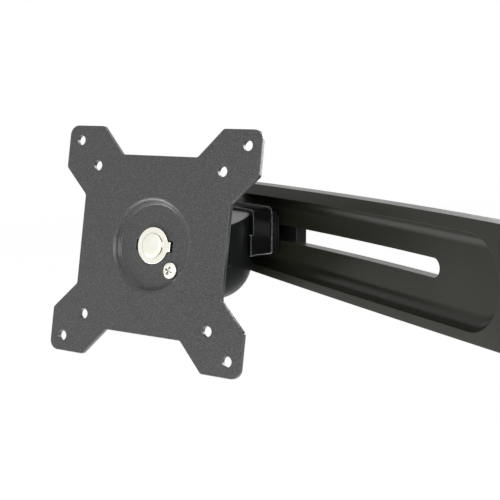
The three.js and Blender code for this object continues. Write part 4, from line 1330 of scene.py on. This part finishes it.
class ARM_OT_hub(bpy.types.Operator):
    """Tilt hub, friction washer and disc spring behind the plate"""

    bl_idname = "monitor_arm.hub"
    bl_label = "Tilt hub"

    def execute(self, context):
        head, plate = sizes("head"), sizes("plate")
        depth = hub_depths()
        ahead, eye = plate.plate_ahead, head.hub_eye
        back = depth["hub"] + head.hub_flange_thick
        half = head.ear_inner - 2 * GAP - head.disc
        bolt_hole = head.bolt + GAP
        seat = depth["hub"] + SPRING_SINK
        hub = cut(
            join(
                rod(head.hub_flange, depth["hub"], back, steps=DISC_STEPS),
                block((-half, half), (back - MM, ahead), (-eye, eye)),
                axle(eye, -half, half, ahead, 0, DISC_STEPS),
            ),
            axle(bolt_hole, -FAR, FAR, ahead, 0),
            rod(bolt_hole, 0, depth["pivot_end"] + END_ROOM),
            rod(SPRING_RADIUS + GAP, 0, seat),
            groove_solid(plate, depth),
        )
        place = plate_place()
        add_piece("hub", hub, place, "hub", "satin_paint", ["tilt_hub"], 0.4 * MM)
        low, fibre_radius = depth["friction"], 12 * MM
        friction = along_y(ring(bolt_hole, fibre_radius, low, low + FIBRE_THICK))
        add_piece(
            "fibre_washer", friction, place, "hub", "friction_fibre", ["friction_washer"], 0.15 * MM
        )
        low, sheet, rise = seat - GAP, 0.7 * MM, 0.5 * MM
        spring = along_y(turned([
            (bolt_hole, low - sheet - rise), (SPRING_RADIUS, low - sheet), (SPRING_RADIUS, low),
            (bolt_hole, low - rise), (bolt_hole, low - sheet - rise),
        ], SCREW_STEPS))
        add_piece("cone_spring", spring, place, "hub", "zinc_plate", ["disc_spring"])
        return {"FINISHED"}


def plate_corners(plate):
    """Corners of the four-eared plate, one quarter at a time."""
    inner = plate.reach - plate.ear
    quarter = (
        (plate.waist, plate.waist_half, plate.small_corner), (plate.reach, inner, plate.small_corner),
        (plate.reach, plate.reach, plate.corner), (inner, plate.reach, plate.small_corner),
        (plate.waist_half, plate.waist, plate.small_corner),
    )
    spins = [Matrix.Rotation(i * math.pi / 2, 2) for i in range(4)]
    return [(*(spin @ Vector((x, z))), radius) for spin in spins for x, z, radius in quarter]


def dish_cut(plate):
    """The hollow of the dish: a rolled lip, a steep wall and a soft corner at its floor."""
    steps = 10
    slope, roll, toe = plate.dish_slope, plate.dish_roll, plate.dish_toe
    points = [(0, -MM), (plate.dish, -MM), (plate.dish, 0)]
    for i in range(1, steps + 1):
        lean = slope * i / steps
        points.append((plate.dish - roll * math.sin(lean), roll * (1 - math.cos(lean))))
    for i in range(steps + 1):
        lean = slope * (1 - i / steps)
        inward = math.sin(lean) - math.sin(slope) / 2
        points.append((
            plate.dish_floor + toe * inward, plate.dish_depth - toe * (1 - math.cos(lean)),
        ))
    points.append((0, plate.dish_depth))
    return along_y(turned(points, DISH_STEPS))


def dish_back(plate):
    """The dish's outside, which stands proud behind the sheet."""
    foot = plate.dish + 1.6 * MM
    top = plate.dish_floor + plate.thick
    back = plate.dish_depth + plate.thick
    front, corner = 0.1 * MM, 0.6 * MM
    points = [(0, front), (foot, front), (foot, plate.thick)]
    steps = 6
    for i in range(1, steps + 1):
        lean = math.pi / 2 * i / steps
        points.append((
            top + (foot - top) * (1 - math.sin(lean)),
            plate.thick + (back - plate.thick - corner) * (1 - math.cos(lean)),
        ))
    points += [(top - corner / 3, back - corner / 3), (top - corner, back), (0, back)]
    return along_y(turned(points, DISH_STEPS))


class ARM_OT_plate(bpy.types.Operator):
    """Screen plate with its hole patterns and pressed dish"""

    bl_idname = "monitor_arm.plate"
    bl_label = "Screen plate"

    def execute(self, context):
        plate, head = sizes("plate"), sizes("head")
        back = plate.dish_depth + plate.thick
        body = panel(plate_corners(plate), 0, plate.thick, CORNER_STEPS)
        holes = [
            rod(plate.hole, -MM, 2 * plate.thick, x, z, HOLE_STEPS)
            for pattern in (plate.small_pattern, plate.large_pattern)
            for x, z in screw_places(pattern / 2, pattern / 2)
        ]
        notch = plate.washer_ear_half + GAP
        body = cut(
            join(body, dish_back(plate)),
            dish_cut(plate),
            rod(head.bolt + GAP, 0, back + MM),
            block((-plate.notch, plate.notch), (0, back + MM), (-notch, notch)),
            rod(STOP_SHANK + GAP, 0, back + MM, plate.stop_x, plate.stop_z, HOLE_STEPS),
            *holes,
        )
        add_piece(
            "vesa_plate", body, plate_place(), "plate", "plate_powder", ["screen_plate"],
            0.35 * MM, 3, BLUNT_CREASE,
        )
        return {"FINISHED"}


class ARM_OT_dish_fixings(bpy.types.Operator):
    """Keyed washer, pivot screw and stop screw in the dish"""

    bl_idname = "monitor_arm.dish_fixings"
    bl_label = "Dish fixings"

    def execute(self, context):
        plate, head = sizes("plate"), sizes("head")
        depth = hub_depths()
        place = plate_place()
        sheet, half = plate.washer_thick, plate.washer_ear_half
        front, back = depth["washer"], depth["washer"] + sheet
        left, right = -plate.washer_ear_left, plate.washer_ear_right
        tab_end = back + 2.4 * MM
        tabs = [
            block(reach, (front, tab_end), (-half, half))
            for reach in ((left, left + sheet), (right - sheet, right))
        ]
        washer = cut(
            join(
                rod(plate.washer, front, back, steps=DISC_STEPS),
                block((left, right), (front, back), (-half, half)), *tabs,
            ),
            rod(head.bolt + GAP, front - MM, back + MM),
        )
        add_piece("tab_washer", washer, place, "plate", "nickel", ["keyed_washer"], 0.3 * MM, 3)
        seat = depth["pivot"] + plate.pivot_head_height
        radius, wall, steps = plate.pivot_head, 0.3 * MM, 12
        rise = plate.pivot_head_height - wall
        dome = [
            (radius * math.sin(swing), seat - wall - rise * math.cos(swing))
            for swing in (math.pi / 2 * i / steps for i in range(steps + 1))
        ]
        screw = along_y(turned([*dome, *shank(radius, seat, head.bolt, depth["pivot_end"])]))
        add_piece("pivot_rivet", screw, place, "hub", "nickel", ["pivot_screw"])
        seat, height, radius = plate.dish_depth - GAP, plate.stop_head_height, plate.stop_head
        top = seat - height
        body = along_y(turned([
            *domed(radius, top, 0.85 * height, start=25),
            *shank(radius, seat, STOP_SHANK, depth["stop_end"]),
        ], SCREW_STEPS))
        narrow, wide = (-0.55 * MM, 0.55 * MM), (-2.15 * MM, 2.15 * MM)
        cross_depth = (top - MM, top + 1.25 * MM)
        body = cut(body, block(wide, cross_depth, narrow), block(narrow, cross_depth, wide))
        turn(body, math.radians(20), "Y")
        shift(body, plate.stop_x, 0, plate.stop_z)
        add_piece("cross_head_screw", body, place, "plate", "nickel", ["stop_screw"], 0.12 * MM)
        return {"FINISHED"}


# ------------------------------------------------------------------ stage
# the point that the lamps face, and each lamp's place from it, width and height, in metres
LAMPS_FACE = Vector((-0.13, -0.07, 0))
LAMPS = {
    "overhead": ((-0.1, 0.12, 1.0), 0.8, 0.8),
    "front": ((-0.15, -0.8, -0.52), 1.1, 0.3),
    "window": ((0.62, -0.6, 0.28), 0.26, 0.24),
    "side": ((0.85, -0.15, 0.3), 0.2, 0.3),
    "rear": ((-0.35, 0.9, 0.2), 1.0, 0.5),
}


def white_to_view(tree, otherwise, full=1.0):
    """Strength seen by camera, glossy and transmission rays, and otherwise."""
    paths = add_node(tree, "LightPath").outputs
    seen = maths(tree, "MAXIMUM", paths["Is Camera Ray"], paths["Is Glossy Ray"])
    seen = maths(tree, "MAXIMUM", seen, paths["Is Transmission Ray"])
    return remap(tree, seen, 0, 1, otherwise, full)


def studio_world(stage):
    world = bpy.data.worlds.new("studio")
    world.use_nodes = True
    tree = world.node_tree
    background = tree.nodes["Background"]
    background.inputs["Color"].default_value = (1, 1, 1, 1)
    tree.links.new(white_to_view(tree, stage.surround), background.inputs["Strength"])
    return world


def floor_card():
    """Pale card that keeps the shadow and reads as white where nothing shades it."""
    to_surfaces, to_view = 0.2, 0.98
    material, tree, shader = new_finish("floor_card", specular=0.0)
    shader.inputs["Base Color"].default_value = (0.9, 0.9, 0.9, 1)
    shader.inputs["Roughness"].default_value = 0.9
    shader.inputs["Emission Color"].default_value = (1, 1, 1, 1)
    glow = white_to_view(tree, to_surfaces, to_view)
    tree.links.new(glow, shader.inputs["Emission Strength"])
    return material


class ARM_OT_stage(bpy.types.Operator):
    """Floor, lights, world and camera"""

    bl_idname = "monitor_arm.stage"
    bl_label = "Stage"

    def execute(self, context):
        stage = sizes("stage")
        scene = context.scene
        lens = bpy.data.cameras.new("camera")
        lens.lens = stage.lens
        lens.sensor_width = 36
        lens.clip_start = 0.01
        camera = bpy.data.objects.new("camera", lens)
        camera.location = stage.camera_at
        camera.rotation_euler = (math.pi / 2 + stage.pitch, 0, stage.heading)
        scene.collection.objects.link(camera)
        scene.camera = camera

        mesh = bmesh.new()
        half_side = 6
        bmesh.ops.create_grid(mesh, x_segments=1, y_segments=1, size=half_side)
        floor = loose(shift(mesh, z=stage.floor_depth), "floor")
        floor.data.materials.append(floor_card())
        scene.world = studio_world(stage)
        scene.view_settings.view_transform = "Standard"
        for name, (offset, wide, high) in LAMPS.items():
            data = bpy.data.lights.new(name, "AREA")
            data.energy = getattr(stage, name)
            data.shape = "RECTANGLE"
            data.size = wide
            data.size_y = high
            lamp = bpy.data.objects.new(name, data)
            lamp.location = LAMPS_FACE + Vector(offset)
            lamp.rotation_euler = (-Vector(offset)).to_track_quat("-Z", "Y").to_euler()
            scene.collection.objects.link(lamp)
        return {"FINISHED"}


class ARM_PT_sidebar(bpy.types.Panel):
    """Lists the arm's parts and sizes"""

    bl_idname = "ARM_PT_sidebar"
    bl_label = "Monitor Arm"
    bl_space_type = "VIEW_3D"
    bl_region_type = "UI"
    bl_category = "Monitor Arm"

    def draw(self, context):
        for operator in OPERATORS:
            self.layout.operator(operator.bl_idname)
        for group, kind in GROUPS.items():
            box = self.layout.box()
            box.label(text=group.capitalize())
            for name in kind.__annotations__:
                box.prop(sizes(group), name)


OPERATORS = (
    ARM_OT_stage, ARM_OT_beam, ARM_OT_foot, ARM_OT_carriage, ARM_OT_saddle, ARM_OT_knob,
    ARM_OT_housing, ARM_OT_swivel_bolt, ARM_OT_tilt_bolt, ARM_OT_hub, ARM_OT_plate,
    ARM_OT_dish_fixings,
)


def register():
    for kind in (*GROUPS.values(), *OPERATORS, ARM_PT_sidebar):
        bpy.utils.register_class(kind)
    for group, kind in GROUPS.items():
        setattr(bpy.types.Scene, "monitor_arm_" + group, PointerProperty(type=kind))


def unregister():
    for group in GROUPS:
        delattr(bpy.types.Scene, "monitor_arm_" + group)
    for kind in (ARM_PT_sidebar, *OPERATORS[::-1], *reversed(GROUPS.values())):
        bpy.utils.unregister_class(kind)


def main():
    register()
    for operator in OPERATORS:
        group, name = operator.bl_idname.split(".")
        getattr(getattr(bpy.ops, group), name)()


if __name__ == "__main__":
    main()
